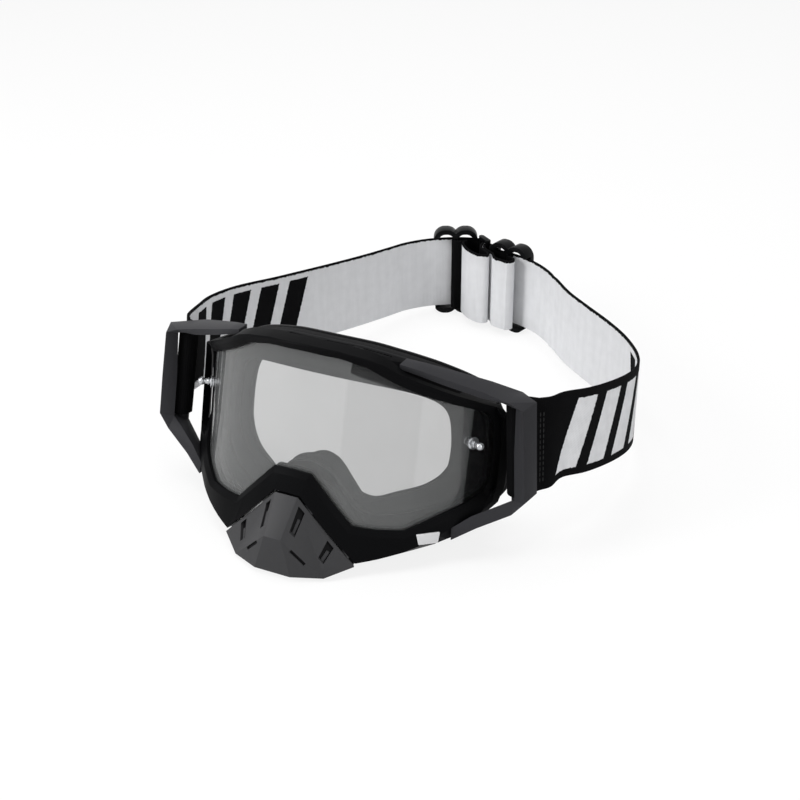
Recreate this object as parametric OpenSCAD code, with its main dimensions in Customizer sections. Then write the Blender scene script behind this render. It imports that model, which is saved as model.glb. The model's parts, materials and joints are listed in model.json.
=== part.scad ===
/* [Lens] */
// Radius of the cylindrical lens: the outlines of the goggles widen with it
lens_radius = 77; // [74:1:80]
// Wall of the lens
lens_wall = 1.6; // [1:0.1:2]
// How far the lens edge reaches into the groove of the frame
lens_grip = 3.4; // [2.5:0.1:3.6]
// Clearance between the lens and the walls of its groove
lens_gap = 0.3; // [0.2:0.05:0.5]
/* [Frame] */
// Height of the lip over the lens
lip_rise = 1.6; // [1.2:0.1:2.2]
// Width of the bevel beside the lip
bevel_width = 2.6; // [2:0.1:3.2]
// Rise of the bevel above the lens
bevel_rise = 3.4; // [2.6:0.1:3.8]
// Width of the groove that holds the lens
groove_width = 3.9; // [3.8:0.1:4.5]
// Thickness of the lip behind the lens
back_lip = 2; // [1.6:0.1:2.4]
// Wall of the frame
frame_wall = 2.6; // [2:0.1:3.2]
// Depth of the foam seat behind the front of the lens, at the middle
seat_depth = 18.5; // [16:0.5:22]
// Width of the face curve: larger is flatter
face_spread = 126; // [118:2:136]
// Thickness of the flange that carries the face foam
flange_wall = 2.4; // [1.8:0.1:3]
// Length of each vent slot
vent_length = 13; // [8:0.5:15]
// Width of each vent slot
vent_width = 3.2; // [2:0.1:4]
// Length of the slot behind each side rim
side_slot_length = 42; // [30:1:44]
// Width of the slot behind each side rim
side_slot_width = 1; // [0.8:0.1:1.4]
/* [Face foam] */
// Thickness of the firm foam on the frame
foam_base_t = 4; // [3:0.5:6]
// Thickness of the soft foam in the middle
foam_core_t = 8; // [5:0.5:10]
// Thickness of the fleece that meets the face
foam_fleece_t = 2.6; // [2:0.2:4]
// Bond gap between two foam layers
foam_gap = 0.2; // [0.1:0.05:0.3]
// Clearance between the vent foam and the frame
vent_foam_gap = 1; // [0.9:0.1:1.4]
// Thickness of the thin foam over the vents
vent_foam_t = 2; // [1.5:0.1:2.2]
/* [Nose guard] */
// Wall of the nose guard
guard_wall = 2.4; // [2:0.1:3]
// Clearance between the nose guard and the frame
guard_gap = 0.3; // [0.2:0.05:0.5]
// Width of each snap tab
tab_width = 5; // [4:0.5:6]
// Thickness of each snap tab
tab_wall = 1.8; // [1.4:0.1:2.2]
// Length of each snap tab
tab_length = 6; // [5:0.5:7]
/* [Outriggers] */
// Radius of the bar that carries the strap
strap_bar_r = 2.6; // [2:0.1:2.7]
// Clearance between an outrigger and the frame
outrigger_gap = 0.25; // [0.15:0.05:0.4]
/* [Tear-off posts] */
// Angle of each post from straight ahead
post_angle = 60; // [57:1:61]
// Height of the posts above the middle of the frame
post_height = 19.8; // [16:0.2:24]
// Radius of the shank
post_r = 1.3; // [1:0.1:1.5]
// Radius of the bulb at the tip
post_bulb_r = 1.9; // [1.7:0.1:2.2]
// Radius of the base ring
post_ring_r = 2.9; // [2.5:0.1:3.2]
// Thickness of the base ring
post_ring_t = 0.9; // [0.7:0.1:1.1]
// Length of the post in front of the lens
post_length = 8; // [7:0.2:9]
// Wall of the loose washer under the base ring
washer_t = 0.8; // [0.6:0.1:1]
// Running clearance round the shank
post_gap = 0.15; // [0.1:0.05:0.2]
/* [Strap] */
// Width of the strap webbing
strap_width = 44; // [42:0.5:44]
// Thickness of the strap webbing
strap_t = 1.3; // [1.1:0.1:1.5]
// Clearance between the strap and the bars that it passes
strap_gap = 0.4; // [0.3:0.05:0.4]
// Clearance above the strap inside the adjusters
strap_top_gap = 0.8; // [0.5:0.1:1.2]
/* [Adjusters] */
// Length of each adjuster along the strap
adjuster_length = 26; // [24:0.5:27]
// Height of each adjuster across the strap
adjuster_height = 53.5; // [52.5:0.5:56]
// Width of the end bars and of the rails
adjuster_rail = 2.8; // [2.4:0.1:2.8]
// Thickness of the end bars
end_bar_t = 1.6; // [1.4:0.1:2]
// Radius of the middle bar that holds the sewn strap end
centre_bar_r = 1.1; // [0.9:0.1:1.3]
/* [Centre link] */
// Radius of the two bars of the link
link_bar_r = 1.1; // [0.9:0.1:1.3]
// Thickness of the plates that join the bars
link_plate_t = 2; // [1.6:0.1:2.4]
/* [Badge] */
// Length of the bare badge
badge_length = 11; // [8:0.5:12]
// Height of the bare badge
badge_height = 5; // [4:0.5:5.5]
// Thickness of the badge
badge_t = 0.6; // [0.4:0.1:1]
/* [Stance] */
// Backward lean of the goggles on the nose guard
lean = 14; // [12:0.5:15]
// Height of the goggle middle above the surface
rest_height = 42; // [42:0.1:43]

/* [Hidden] */

// Place of the row's origin in the frame of the drawing
origin_x = 6.17;
origin_y = 129.11;
// Front of the lens, and the axis of its cylinder
lens_front = 1.5;
lens_axis = lens_front + lens_radius;
// Width of the goggles beside the outlines below, which are drawn for a lens of 77 mm radius
widening = lens_radius / 77;
// Straight pieces that each side of an outline is cut into, so that it follows the lens
steps = 2;
hair = 0.01;

// Outline of the lens opening, right half, from the top middle clockwise
OPENING = [
  [0, 55.5], [17, 55], [28, 52.8], [34, 49.6], [42, 45.6], [54, 40.5], [66, 35.5], [70, 32.8],
  [71.6, 28], [72.4, 15], [72.6, 1], [71, -4.5], [66.5, -8.6], [60, -12.6], [52, -17.6], [48, -20],
  [38, -20.2], [28.5, -19.5], [22, -12.5], [15, -5], [9, 1.4], [0, 1.8]
];
// Outer edge of the front face: x, z and rise above the lens
RIM = [
  [0, 59, 3], [17, 58.4, 3], [29, 56.6, 3], [36, 54.6, 3], [43, 51, 3], [56, 45.6, 3.4], [68, 40.6, 4.6],
  [75, 37, 5.6], [77.4, 31, 6.2], [78, 16, 6.4], [78, -1, 6.4], [77, -8, 6], [72.5, -14.2, 5], [66, -18, 4.2],
  [57, -25.6, 3.6], [50, -29.5, 3.4], [41, -33, 3.6], [33, -35.6, 4], [24, -27, 4.4], [14.5, -17.2, 4.6],
  [6.4, -8.6, 4.6], [0, -8.3, 4.6]
];
// How far the ridge behind the rim stands out, and how far behind the rim it lies
RIDGE = [
  [2.2, 6], [2.2, 6], [2.2, 6], [1.6, 5], [0.2, 4], [0.1, 4], [0.1, 4],
  [0.3, 4], [1.6, 4], [2.2, 4], [2.2, 4], [1.6, 4], [1.4, 4], [4.4, 5],
  [2.6, 9], [1.6, 9], [0.8, 6], [0.3, 5], [0.1, 5], [0.1, 5], [0.1, 5], [0.1, 5]
];
// Outer outline of the foam seat
SEAT = [
  [0, 58], [17, 57.4], [29, 55.4], [38, 53.2], [46, 50.6], [55, 46.6], [61.5, 42.4],
  [65.5, 37], [69, 30], [73, 17], [75, 0], [74.5, -9], [70, -16.4], [63, -21.6],
  [55, -26], [48, -28.6], [41, -30.2], [34, -30.6], [27, -26.4], [20, -18.6], [12.6, -10.2], [0, -5.4]
];
// How far the shell behind the rim stands out from the seat, to go round the edge of the lens
SHELL = [
  0.6, 0.6, 0.6, 0.6, 0.6, 0.6, 1.6, 4, 4.5, 2, 0.8,
  0.6, 0.6, 0.6, 0.6, 0.6, 0.6, 0.6, 0.6, 0.6, 0.6, 0.6
];
// How far the front of the flange starts from the outer edge of the seat
POCKET = [0, 0, 0, 0, 0, 0, 0, 0, 0.6, 3.9, 5.2, 4, 1, 0, 0, 0, 0, 0, 0, 0, 0, 0];
// How far the wall behind the lens stands back from the opening
RECESS = [2.6, 2.6, 2.6, 2.6, 2.6, 2.6, 2.6, 1.6, 0, 0, 0, 0, 1.4, 2.6, 2.6, 2.6, 2.6, 2.6, 2.6, 2.6, 2.6, 2.6];
// Inner edge of the flange under the foam
FLANGE = [
  [0, 48], [16, 47.4], [28, 46], [35.4, 44.8], [42, 43.2], [49.4, 40.6], [55.4, 37.4],
  [59.4, 33.6], [61.8, 27.6], [63.4, 15.6], [63, 2], [61.6, -4.4], [58.8, -8.8], [54, -12.4],
  [47, -15.6], [41, -17.2], [34, -18.6], [28, -19], [22.6, -15.6], [16.8, -8.4], [10.4, -1], [0, 2]
];
// Inner edge of the foam
FACE = [
  [0, 41.4], [15, 41], [27, 40], [33.4, 39.2], [39, 38.2], [45, 36.6], [49.6, 34.6],
  [53, 31.4], [55, 26], [56.2, 15], [56, 5], [54, 1], [50.5, -3], [45, -6.8],
  [40, -8.8], [34, -10.8], [26.4, -13.6], [20.8, -12.2], [16.6, -8], [12.6, -2], [8, 2.6], [0, 4.8]
];
// Corners of the right outrigger's front outer, rear outer, rear inner and front inner edges
ARM_OUT_FRONT = [
  [40, 13.5, 55], [48, 17.6, 53], [57, 22, 50.4], [73, 29.6, 46.2], [84, 31, 43.6], [91, 32.8, 40.6],
  [93.4, 35.6, 19], [95.4, 38.4, -1.8], [90, 38.4, -8.4], [76, 34.6, -17], [66, 30.8, -24]
];
ARM_OUT_REAR = [
  [40, 20.5, 56.4], [48, 25, 55], [57, 30.4, 53], [73, 39, 49.4], [85, 47, 45.4], [94, 41, 43.8],
  [96, 43.4, 22.6], [98, 45.8, 1.8], [91.6, 53, -6], [77, 45.4, -17.4], [67, 40, -24]
];
ARM_IN_REAR = [
  [40, 20.8, 54], [48, 25.2, 51.8], [57, 31, 49.4], [73, 39.2, 46], [84.4, 46.4, 43.6], [91.8, 40.8, 42.4],
  [93.4, 43, 21.6], [95, 45.4, -0.4], [88.4, 52, -4.2], [75, 44.6, -13.4], [66, 39.4, -19.6]
];
ARM_IN_FRONT = [
  [40, 14, 52.8], [48, 18.2, 50.4], [57, 22.4, 47.6], [73, 30.4, 43.2], [81, 33.6, 42.2], [86.4, 36.4, 41.6],
  [87.4, 39.2, 19.4], [89.3, 42, -2.6], [84, 39.6, -5.4], [73, 34.4, -12], [65.4, 31, -18.6]
];
// Ends of the strap bar of the right outrigger
STRAP_BAR_TOP = [83.8, 43.2, 44];
STRAP_BAR_LOW = [88.4, 49, -5];
// Front corners of the nose guard, right half: top, ridge, cheek, foot
GUARD_TOP = [5.6, -3.4, -9.2];
GUARD_RIDGE = [4.2, -13.2, -26.7];
GUARD_CHEEK = [33, 3.6, -36.9];
GUARD_JAW = [22.6, -4.4, -42.6];
GUARD_CHIN = [9, -10.4, -43.6];
GUARD_FOOT = [10, 1, -46.2];
// Strap route on the right, from the outrigger to the adjuster: x, y, height of the lower edge
ROUTE_RIGHT = [
  [102, 64.5, 31.2], [108.4, 79, 27.8], [113, 98, 23.4], [115, 117, 19], [113.6, 134, 15],
  [109, 150, 11.4], [102, 165, 8.6], [91.5, 180.4, 6.8], [78, 195, 5.6], [63, 208.6, 4.8],
  [47.4, 223, 4.1], [35, 237.2, 3.7]
];
// Strap route on the left, from the outrigger to the adjuster
ROUTE_LEFT = [
  [-97.4, 80, 27.4], [-102, 98, 24], [-102, 122, 19.6], [-95.4, 152, 14.2], [-87.4, 182, 9.6],
  [-78.8, 206, 6.4], [-74.6, 221, 4.6]
];
// Centre and radius of the two bends that the adjusters slide along
BEND_LEFT = [-16.2, 218.2];
BEND_LEFT_R = 58;
BEND_RIGHT = [-15.5, 203.6];
BEND_RIGHT_R = 60;
// Places of the adjusters on their bends, as angles from the right
ADJUSTER_LEFT_AT = 116;
ADJUSTER_RIGHT_AT = 77;
// Height of the strap's lower edge at the adjusters
strap_low = 3.5;
// Bars of the centre link
LINK_LEFT = [-26, 273];
LINK_RIGHT = [-20, 268.4];
// Front folds of the two strap loops, from the link back to the adjusters
FOLD_LEFT = [
  [-23.6, 267], [-22, 262.8], [-18.6, 259.6], [-15.4, 257.2], [-14.2, 254.8], [-16, 252.8],
  [-20, 252.8], [-26, 255.6], [-31.4, 260.4], [-34.2, 264.4], [-34.8, 267]
];
FOLD_RIGHT = [
  [-20.8, 264.6], [-18.6, 261.8], [-15.6, 259.8], [-12.6, 257.6], [-11, 255], [-9, 252.4],
  [-4.8, 250.8], [-1.3, 250.3]
];

// Shapes shared by the parts
function blend(a, b, t) = a + (b - a) * t;
function unit2(v) = v / max(norm(v), hair);
function flip_x(p) = [for (i = [0:len(p) - 1]) i == 0 ? -p[0] : p[i]];
function widen(p) = len(p) == 2 ? [p[0] * widening, p[1]] : [p[0] * widening, p[1] * widening, p[2]];
// A full loop from a right half that starts and ends on the middle line
function full_loop(half) = concat(half, [for (i = [len(half) - 2:-1:1]) flip_x(half[i])]);
function finer(loop) = [
  for (i = [0:len(loop) - 1]) for (k = [0:steps - 1]) blend(loop[i], loop[(i + 1) % len(loop)], k / steps)
];
// The same for a half whose points are all one kind of size, such as a rise
function sizes_of(half) =
  finer(concat(half, [for (i = [len(half) - 2:-1:1]) half[i]]));
function loop_of(half) = [for (p = finer(full_loop(half))) concat([p[0] * widening], [for (k = [1:len(p) - 1]) p[k]])];
// Outward direction at each point of a clockwise loop, lengthened at the corners
function outward(loop) = [
  for (i = [0:len(loop) - 1])
    let (
      n = len(loop),
      a = unit2(loop[i] - loop[(i + n - 1) % n]),
      b = unit2(loop[(i + 1) % n] - loop[i]),
      m = unit2([-(a[1] + b[1]), a[0] + b[0]]),
      c = max(0.6, m * [-b[1], b[0]])
    )
    m / c
];
function grow(loop, w) = let (o = outward(loop)) [for (i = [0:len(loop) - 1]) loop[i] + o[i] * w];
// A point at x and z that stands a given rise above the lens
function on_lens(x, z, rise) = [x, lens_axis - sqrt(pow(lens_radius + rise, 2) - x * x), z];
// The opening outline rolled flat, so that widths are true along the curved lens
function roll_flat(p) = [lens_radius * asin(p[0] / lens_radius) * PI / 180, p[1]];
function roll_round(s, rise) =
  let (a = s[0] / lens_radius * 180 / PI)
  [(lens_radius + rise) * sin(a), lens_axis - (lens_radius + rise) * cos(a), s[1]];
opening_flat = [for (p = loop_of(OPENING)) roll_flat(p)];
function opening_ring(w, rise) = [for (p = grow(opening_flat, w)) roll_round(p, rise)];
// Depth of the foam seat at a given x
function seat_y(x) = seat_depth + x * x / (face_spread * widening);
function seat_ring(loop, w, back) = [for (p = grow(loop, w)) [p[0], seat_y(p[0]) + back, p[1]]];
function shell_ring(loop) =
  let (o = outward(loop), w = sizes_of(SHELL))
  [for (i = [0:len(loop) - 1]) let (p = loop[i] + o[i] * w[i]) [p[0], seat_y(p[0]) - 5, p[1]]];
function pocket_ring(loop) =
  let (o = outward(loop), w = sizes_of(POCKET))
  [for (i = [0:len(loop) - 1]) let (p = loop[i] - o[i] * (w[i] + frame_wall)) [p[0], seat_y(p[0]) - flange_wall, p[1]]];
function recess_ring(rise) =
  let (o = outward(opening_flat), w = sizes_of(RECESS))
  [for (i = [0:len(o) - 1]) roll_round(opening_flat[i] + o[i] * (w[i] - 0.6), rise - 0.2 - w[i] * 0.5)];
function rim_ring() = [for (p = loop_of(RIM)) on_lens(p[0], p[1], p[2])];
function ridge_ring() =
  let (
    rim = loop_of(RIM),
    out = outward([for (p = rim) [p[0], p[1]]]),
    ridge = sizes_of(RIDGE)
  )
  [
    for (i = [0:len(rim) - 1])
      on_lens(rim[i][0], rim[i][1], rim[i][2])
      + [out[i][0] * ridge[i][0], ridge[i][1], out[i][1] * ridge[i][0]]
  ];

// A closed ring body: rings of points, each joined to the next and the last to the first
module ring_body(rings) {
  n = len(rings[0]);
  m = len(rings);
  points = [for (r = rings) for (p = r) p];
  faces = [
    for (r = [0:m - 1]) for (i = [0:n - 1])
      let (a = r * n + i, b = r * n + (i + 1) % n, c = ((r + 1) % m) * n + (i + 1) % n, d = ((r + 1) % m) * n + i)
      each [[a, c, b], [a, d, c]]
  ];
  polyhedron(points, faces, convexity = 8);
}
// A closed bar body: sections of points from one end to the other, with flat ends
module bar_body(sections) {
  m = len(sections[0]);
  n = len(sections);
  points = [for (s = sections) for (p = s) p];
  sides = [
    for (i = [0:n - 2]) for (k = [0:m - 1])
      let (a = i * m + k, b = i * m + (k + 1) % m, c = (i + 1) * m + (k + 1) % m, d = (i + 1) * m + k)
      each [[a, b, c], [a, c, d]]
  ];
  ends = [
    for (k = [1:m - 2]) each [[0, k + 1, k], [(n - 1) * m, (n - 1) * m + k, (n - 1) * m + k + 1]]
  ];
  polyhedron(points, concat(sides, ends), convexity = 8);
}
// A smooth route through chosen points
function curve_at(p0, p1, p2, p3, t) =
  0.5 * (2 * p1 + (p2 - p0) * t + (2 * p0 - 5 * p1 + 4 * p2 - p3) * t * t + (3 * p1 - p0 - 3 * p2 + p3) * t * t * t);
function smooth(route, steps) =
  let (last = len(route) - 1)
  concat(
    [
      for (i = [0:last - 1]) for (k = [0:steps - 1])
        curve_at(route[max(i - 1, 0)], route[i], route[i + 1], route[min(i + 2, last)], k / steps)
    ],
    [route[last]]
  );
// Webbing that stands on its lower edge along a route of x, y, z and the shift of its top edge
module webbing(route, width) {
  last = len(route) - 1;
  bar_body([
    for (i = [0:last])
      let (
        p = route[i],
        along = unit2([for (k = [0, 1]) route[min(i + 1, last)][k] - route[max(i - 1, 0)][k]]),
        side = [-along[1], along[0], 0] * strap_t / 2,
        low = [p[0], p[1], p[2]],
        top = low + [p[3], p[4], width]
      )
      [low - side, top - side, top + side, low + side]
  ]);
}
// Everything on the goggle body is drawn upright and then leans back on the nose guard
module leaning() {
  translate([-origin_x, -origin_y, rest_height]) rotate([-lean, 0, 0]) children();
}
module standing() {
  translate([-origin_x, -origin_y, 0]) children();
}
function leaned(p) = [
  p[0],
  p[1] * cos(lean) + p[2] * sin(lean),
  p[2] * cos(lean) - p[1] * sin(lean) + rest_height
];
module both_sides() {
  children();
  mirror([1, 0, 0]) children();
}
// A bar between two points
module round_bar(a, b, r) {
  v = b - a;
  translate(a) rotate([0, acos(v[2] / norm(v)), atan2(v[1], v[0])]) cylinder(r = r, h = norm(v), $fn = 48);
}

// Frame: one moulded ring with lip, groove, outer shell and foam flange
module frame_shell() {
  seat = loop_of(SEAT);
  flange = loop_of(FLANGE);
  under = -(lens_wall + lens_gap);
  ring_body([
    opening_ring(0, lip_rise),
    opening_ring(bevel_width, bevel_rise),
    rim_ring(),
    ridge_ring(),
    shell_ring(seat),
    seat_ring(seat, 0, 0),
    seat_ring(flange, 0, 0),
    seat_ring(flange, 0, -flange_wall),
    pocket_ring(seat),
    recess_ring(under - back_lip),
    opening_ring(-0.4, under - back_lip),
    opening_ring(-0.4, under),
    opening_ring(groove_width, under),
    opening_ring(groove_width, lens_gap),
    opening_ring(0, lens_gap)
  ]);
}
module vent_slot() {
  cube([vent_length, vent_width, 24], center = true);
}
module frame() {
  color("#1b1c1e") leaning() difference() {
    frame_shell();
    both_sides() {
      outrigger_body(outrigger_gap);
      for (x = [10, 27]) translate(widen([x, 14 + x * x / 150, 58])) rotate([0, x * 0.3, x * 0.8]) vent_slot();
      translate(widen([42, 24.5, -30])) rotate([0, 0, 31]) vent_slot();
      translate([0, lens_axis, 17 - side_slot_length / 2]) side_slot();
      guard_tabs(guard_gap, 8);
    }
    badge_plate(0.1);
  }
}
// A thin curved slot between the side rim and the lens
module side_slot() {
  difference() {
    cylinder(r = lens_radius + 2.7 + side_slot_width, h = side_slot_length, $fn = 180);
    translate([0, 0, -1]) cylinder(r = lens_radius + 2.7, h = side_slot_length + 2, $fn = 180);
    rotate([0, 0, -90 + 66.5]) translate([-200, -200, -1]) cube([400, 200, side_slot_length + 2]);
    rotate([0, 0, -90 + 84]) translate([-200, 0, -1]) cube([400, 200, side_slot_length + 2]);
  }
}

// Lens: a curved sheet in upright strips between its top and bottom edge, cut square at the edges
module lens() {
  edge = grow(opening_flat, lens_grip);
  side = 10 * steps;
  top = [for (i = [0:side]) edge[i]];
  bottom = [for (i = [side:21 * steps]) edge[i]];
  half = concat(
    [for (k = [0:35]) k * 2.6 * widening],
    [edge[8 * steps][0], edge[9 * steps][0], edge[side][0] - 0.2]
  );
  strips = concat([for (k = [len(half) - 1:-1:1]) -half[k]], half);
  color("#cfd6da", 0.35) leaning() difference() {
    bar_body([
      for (s = strips)
        let (low = [s, lookup(abs(s), bottom)], high = [s, lookup(abs(s), top)])
        [roll_round(low, 0), roll_round(high, 0), roll_round(high, -lens_wall), roll_round(low, -lens_wall)]
    ]);
    both_sides() at_post() cylinder(r = post_r + post_gap, h = 12, center = true, $fn = 48);
  }
}

// Tear-off posts and their washers, on the lens at the right
module at_post() {
  translate([0, lens_axis, post_height]) rotate([0, 0, post_angle]) translate([0, -lens_radius, 0])
    rotate([90, 0, 0]) children();
}
module post_body() {
  neck = post_length - 2 * post_bulb_r;
  translate([0, 0, washer_t + post_gap]) cylinder(r = post_ring_r, h = post_ring_t, $fn = 48);
  translate([0, 0, -lens_wall - post_gap]) cylinder(r = post_r, h = lens_wall + neck + post_bulb_r, $fn = 48);
  translate([0, 0, neck + post_bulb_r]) sphere(r = post_bulb_r, $fn = 48);
  translate([0, 0, neck * 0.62]) cylinder(r = post_r + 0.45, h = 0.6, $fn = 48);
  translate([0, 0, -lens_wall - post_gap - 0.9]) cylinder(r = post_r + 0.9, h = 0.9, $fn = 48);
}
module washer_body() {
  translate([0, 0, post_gap / 2]) difference() {
    cylinder(r = post_ring_r - 0.3, h = washer_t, $fn = 48);
    translate([0, 0, -1]) cylinder(r = post_r + post_gap, h = washer_t + 2, $fn = 48);
  }
}
module post_right() {
  color("#c9cccf") leaning() at_post() post_body();
}
module post_left() {
  color("#c9cccf") leaning() mirror([1, 0, 0]) at_post() post_body();
}
module washer_right() {
  color("#b9bcbf") leaning() at_post() washer_body();
}
module washer_left() {
  color("#b9bcbf") leaning() mirror([1, 0, 0]) at_post() washer_body();
}

// Outriggers: a bent arm on each side with the bar that the strap loops round
module outrigger_body(gap) {
  last = len(ARM_OUT_FRONT) - 1;
  bar_body([
    for (i = [0:last])
      let (
        a = widen(ARM_OUT_FRONT[i]),
        b = widen(ARM_OUT_REAR[i]),
        c = widen(ARM_IN_REAR[i]),
        d = widen(ARM_IN_FRONT[i]),
        m = (a + b + c + d) / 4,
        along = (i == 0 || i == last) ? gap * 1.2 : 0,
        step = (ARM_OUT_FRONT[min(i + 1, last)] - ARM_OUT_FRONT[max(i - 1, 0)]),
        end = step / norm(step) * along * (i == 0 ? -1 : 1)
      )
      [for (p = [a, b, c, d]) p + (p - m) / norm(p - m) * gap * 1.4 + end]
  ]);
}
module outrigger_right() {
  color("#242527") leaning() {
    outrigger_body(0);
    round_bar(widen(STRAP_BAR_TOP), widen(STRAP_BAR_LOW), strap_bar_r);
  }
}
module outrigger_left() {
  color("#242527") leaning() mirror([1, 0, 0]) {
    outrigger_body(0);
    round_bar(widen(STRAP_BAR_TOP), widen(STRAP_BAR_LOW), strap_bar_r);
  }
}

// Nose guard: a faceted shell below the lens with cooling slots, a foot and two snap tabs
module guard_facets() {
  half = [for (p = [GUARD_TOP, GUARD_RIDGE, GUARD_CHEEK, GUARD_JAW, GUARD_CHIN, GUARD_FOOT]) widen(p)];
  front = concat(half, [for (p = half) flip_x(p)]);
  inward = [[0, 1, -0.5], [0, 1, 0.1], [-0.6, 0.8, 0.3], [-0.5, 0.6, 0.9], [-0.3, 0.6, 0.9], [-0.2, -0.3, 1.1]];
  shift = concat(inward, [for (p = inward) flip_x(p)]);
  back = [for (i = [0:11]) front[i] + shift[i] * guard_wall];
  skin = [
    [0, 2, 3], [0, 3, 1], [1, 3, 4], [4, 3, 5],
    [6, 9, 8], [6, 7, 9], [7, 10, 9], [10, 11, 9],
    [0, 1, 7], [0, 7, 6], [1, 4, 10], [1, 10, 7], [4, 5, 11], [4, 11, 10]
  ];
  rim = [0, 6, 8, 9, 11, 5, 3, 2];
  faces = concat(
    skin,
    [for (f = skin) [f[2] + 12, f[1] + 12, f[0] + 12]],
    [
      for (i = [0:7])
        let (a = rim[i], b = rim[(i + 1) % 8])
        each [[a, b, b + 12], [a, b + 12, a + 12]]
    ]
  );
  polyhedron(concat(front, back), faces, convexity = 6);
}
// A point on the cheek panel, from the ridge side (0) to the cheek side (1) and from top (0) to bottom (1)
function on_cheek(u, v) = widen(blend(blend(GUARD_TOP, GUARD_CHEEK, u), blend(GUARD_RIDGE, GUARD_JAW, u), v));
module cheek_slot(u0, u1, v0, v1, slant) {
  quad = [on_cheek(u0 - slant, v1), on_cheek(u1 - slant, v1), on_cheek(u1, v0), on_cheek(u0, v0)];
  bar_body([
    [for (p = quad) p + [1.6, -4, -0.8]],
    [for (p = quad) p + [-3.2, 8, 1.6]]
  ]);
}
// The two snap tabs of one side, or with a gap and a way out to the front the pockets that they slide in
module guard_tabs(gap, ahead) {
  for (p = [[8, -1.5, -13.4], [25.4, 3, -31]])
    translate(widen(p)) rotate([0, 43, 0]) translate([-gap, -gap - ahead, -gap])
      cube([tab_width + 2 * gap, tab_length + ahead + 2 * gap, tab_wall + 2 * gap]);
}
module nose_guard() {
  color("#3a3b3e") leaning() difference() {
    union() {
      guard_facets();
      both_sides() guard_tabs(0, 0);
    }
    both_sides() {
      cheek_slot(0.06, 0.17, 0.12, 0.72, -0.03);
      cheek_slot(0.58, 0.7, 0.12, 0.68, -0.09);
      translate([12, -10.6, -34]) rotate([0, 40, 24]) cube([9, 9, 1.4], center = true);
    }
    rotate([lean, 0, 0]) translate([-60, -60, -rest_height - 20]) cube([120, 120, 20]);
  }
}

// Badge: a bare slanted plate on the lower right of the frame
module badge_plate(gap) {
  translate(widen([58.4, 22.8, -22.7])) rotate([0, 0, 43]) rotate([90, -6, 0])
    linear_extrude(height = 2 * badge_t + gap, center = true)
      polygon([
        [-badge_length / 2 - gap + 1, -badge_height / 2 - gap], [badge_length / 2 + gap - 1, -badge_height / 2 - gap],
        [badge_length / 2 + gap, badge_height / 2 + gap], [-badge_length / 2 - gap, badge_height / 2 + gap]
      ]);
}
module badge() {
  color("#d8d9da") leaning() badge_plate(0);
}

// Face foam: three bonded layers that follow the seat, with rounded edges and a raised crown
module foam_layer(from, to, inset, crown) {
  outer = loop_of(SEAT);
  inner = loop_of(FACE);
  middle = [for (i = [0:len(outer) - 1]) (outer[i] + inner[i]) / 2];
  thick = to - from;
  ring_body([
    seat_ring(outer, -inset, from),
    seat_ring(outer, -inset + crown * 0.6, from + thick / 2),
    seat_ring(outer, -inset - crown * 0.5, to - crown * 0.4),
    seat_ring(middle, 0, to + crown),
    seat_ring(inner, inset + crown * 0.5, to - crown * 0.4),
    seat_ring(inner, inset - crown * 0.6, from + thick / 2),
    seat_ring(inner, inset, from)
  ]);
}
foam_start = foam_gap;
core_start = foam_start + foam_base_t + foam_gap;
fleece_start = core_start + foam_core_t + foam_gap;
module foam_base() {
  color("#2c2d2f") leaning() foam_layer(foam_start, foam_start + foam_base_t, 0.4, 0);
}
module foam_core() {
  color("#4a4b4d") leaning() foam_layer(core_start, core_start + foam_core_t, 0.9, 0);
}
module foam_fleece() {
  color("#151516") leaning() foam_layer(fleece_start, fleece_start + foam_fleece_t, 0.5, 0.9);
}
// Thin foam behind the vents, inside the frame
module vent_foam_top() {
  color("#2c2d2f") leaning() vent_strip(39, 3);
}
module vent_foam_right() {
  color("#2c2d2f") leaning() vent_strip(15, 17);
}
module vent_foam_left() {
  color("#2c2d2f") leaning() mirror([1, 0, 0]) vent_strip(15, 17);
}
module vent_strip(first, last) {
  rear = pocket_ring(loop_of(SEAT));
  front = recess_ring(-lens_wall - lens_gap - back_lip);
  out = outward([for (p = rear) [p[0], p[2]]]);
  n = len(rear);
  bar_body([
    for (k = [0:((last - first) * steps + n) % n])
      let (
        i = (first * steps + k) % n,
        o = [out[i][0], 0, out[i][1]],
        a = blend(rear[i], front[i], 0.08) - o * vent_foam_gap,
        b = blend(rear[i], front[i], 0.6) - o * vent_foam_gap
      )
      [a, a - o * vent_foam_t, b - o * vent_foam_t, b]
  ]);
}

// Strap: each half loops round its outrigger bar, runs back, passes the adjuster and folds round the link
function polar(centre, radius, angle) = centre + radius * [cos(angle), sin(angle)];
function bar_top() = leaned(widen(STRAP_BAR_TOP));
function bar_low() = leaned(widen(STRAP_BAR_LOW));
// Loop round the outrigger bar: from the sewn ply, round the front of the bar and off along the route
function bar_loop(next) =
  let (
    low = bar_low(),
    top = bar_top(),
    rise = (strap_at_bar - low[2]) / (top[2] - low[2]),
    c = [blend(low[0], top[0], rise), blend(low[1], top[1], rise)],
    tilt = [top[0] - low[0], top[1] - low[1]] / (top[2] - low[2]) * strap_width,
    to = unit2([next[0], next[1]] - c - tilt / 2),
    side = [-to[1], to[0]],
    r = strap_bar_r + strap_gap + strap_t / 2,
    a0 = atan2(side[1], side[0]),
    turn = [for (k = [0:8]) a0 + k * 22.5],
    ply = strap_t + 0.3,
    plan = concat(
      [c + to * 13 + side * (ply - 1), c + to * 9 + side * (ply - 0.4)],
      [for (a = turn) c + r * [cos(a), sin(a)]],
      [c + to * 9 - side * 1.2, c + to * 15 - side * 1]
    )
  )
  [for (i = [0:len(plan) - 1]) let (away = max(0, i - 10), k = [1, 0.8, 0.55][away])
    [plan[i][0], plan[i][1], strap_at_bar + [0, 0.3, 1.1][away], tilt[0] * k, tilt[1] * k]];
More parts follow.
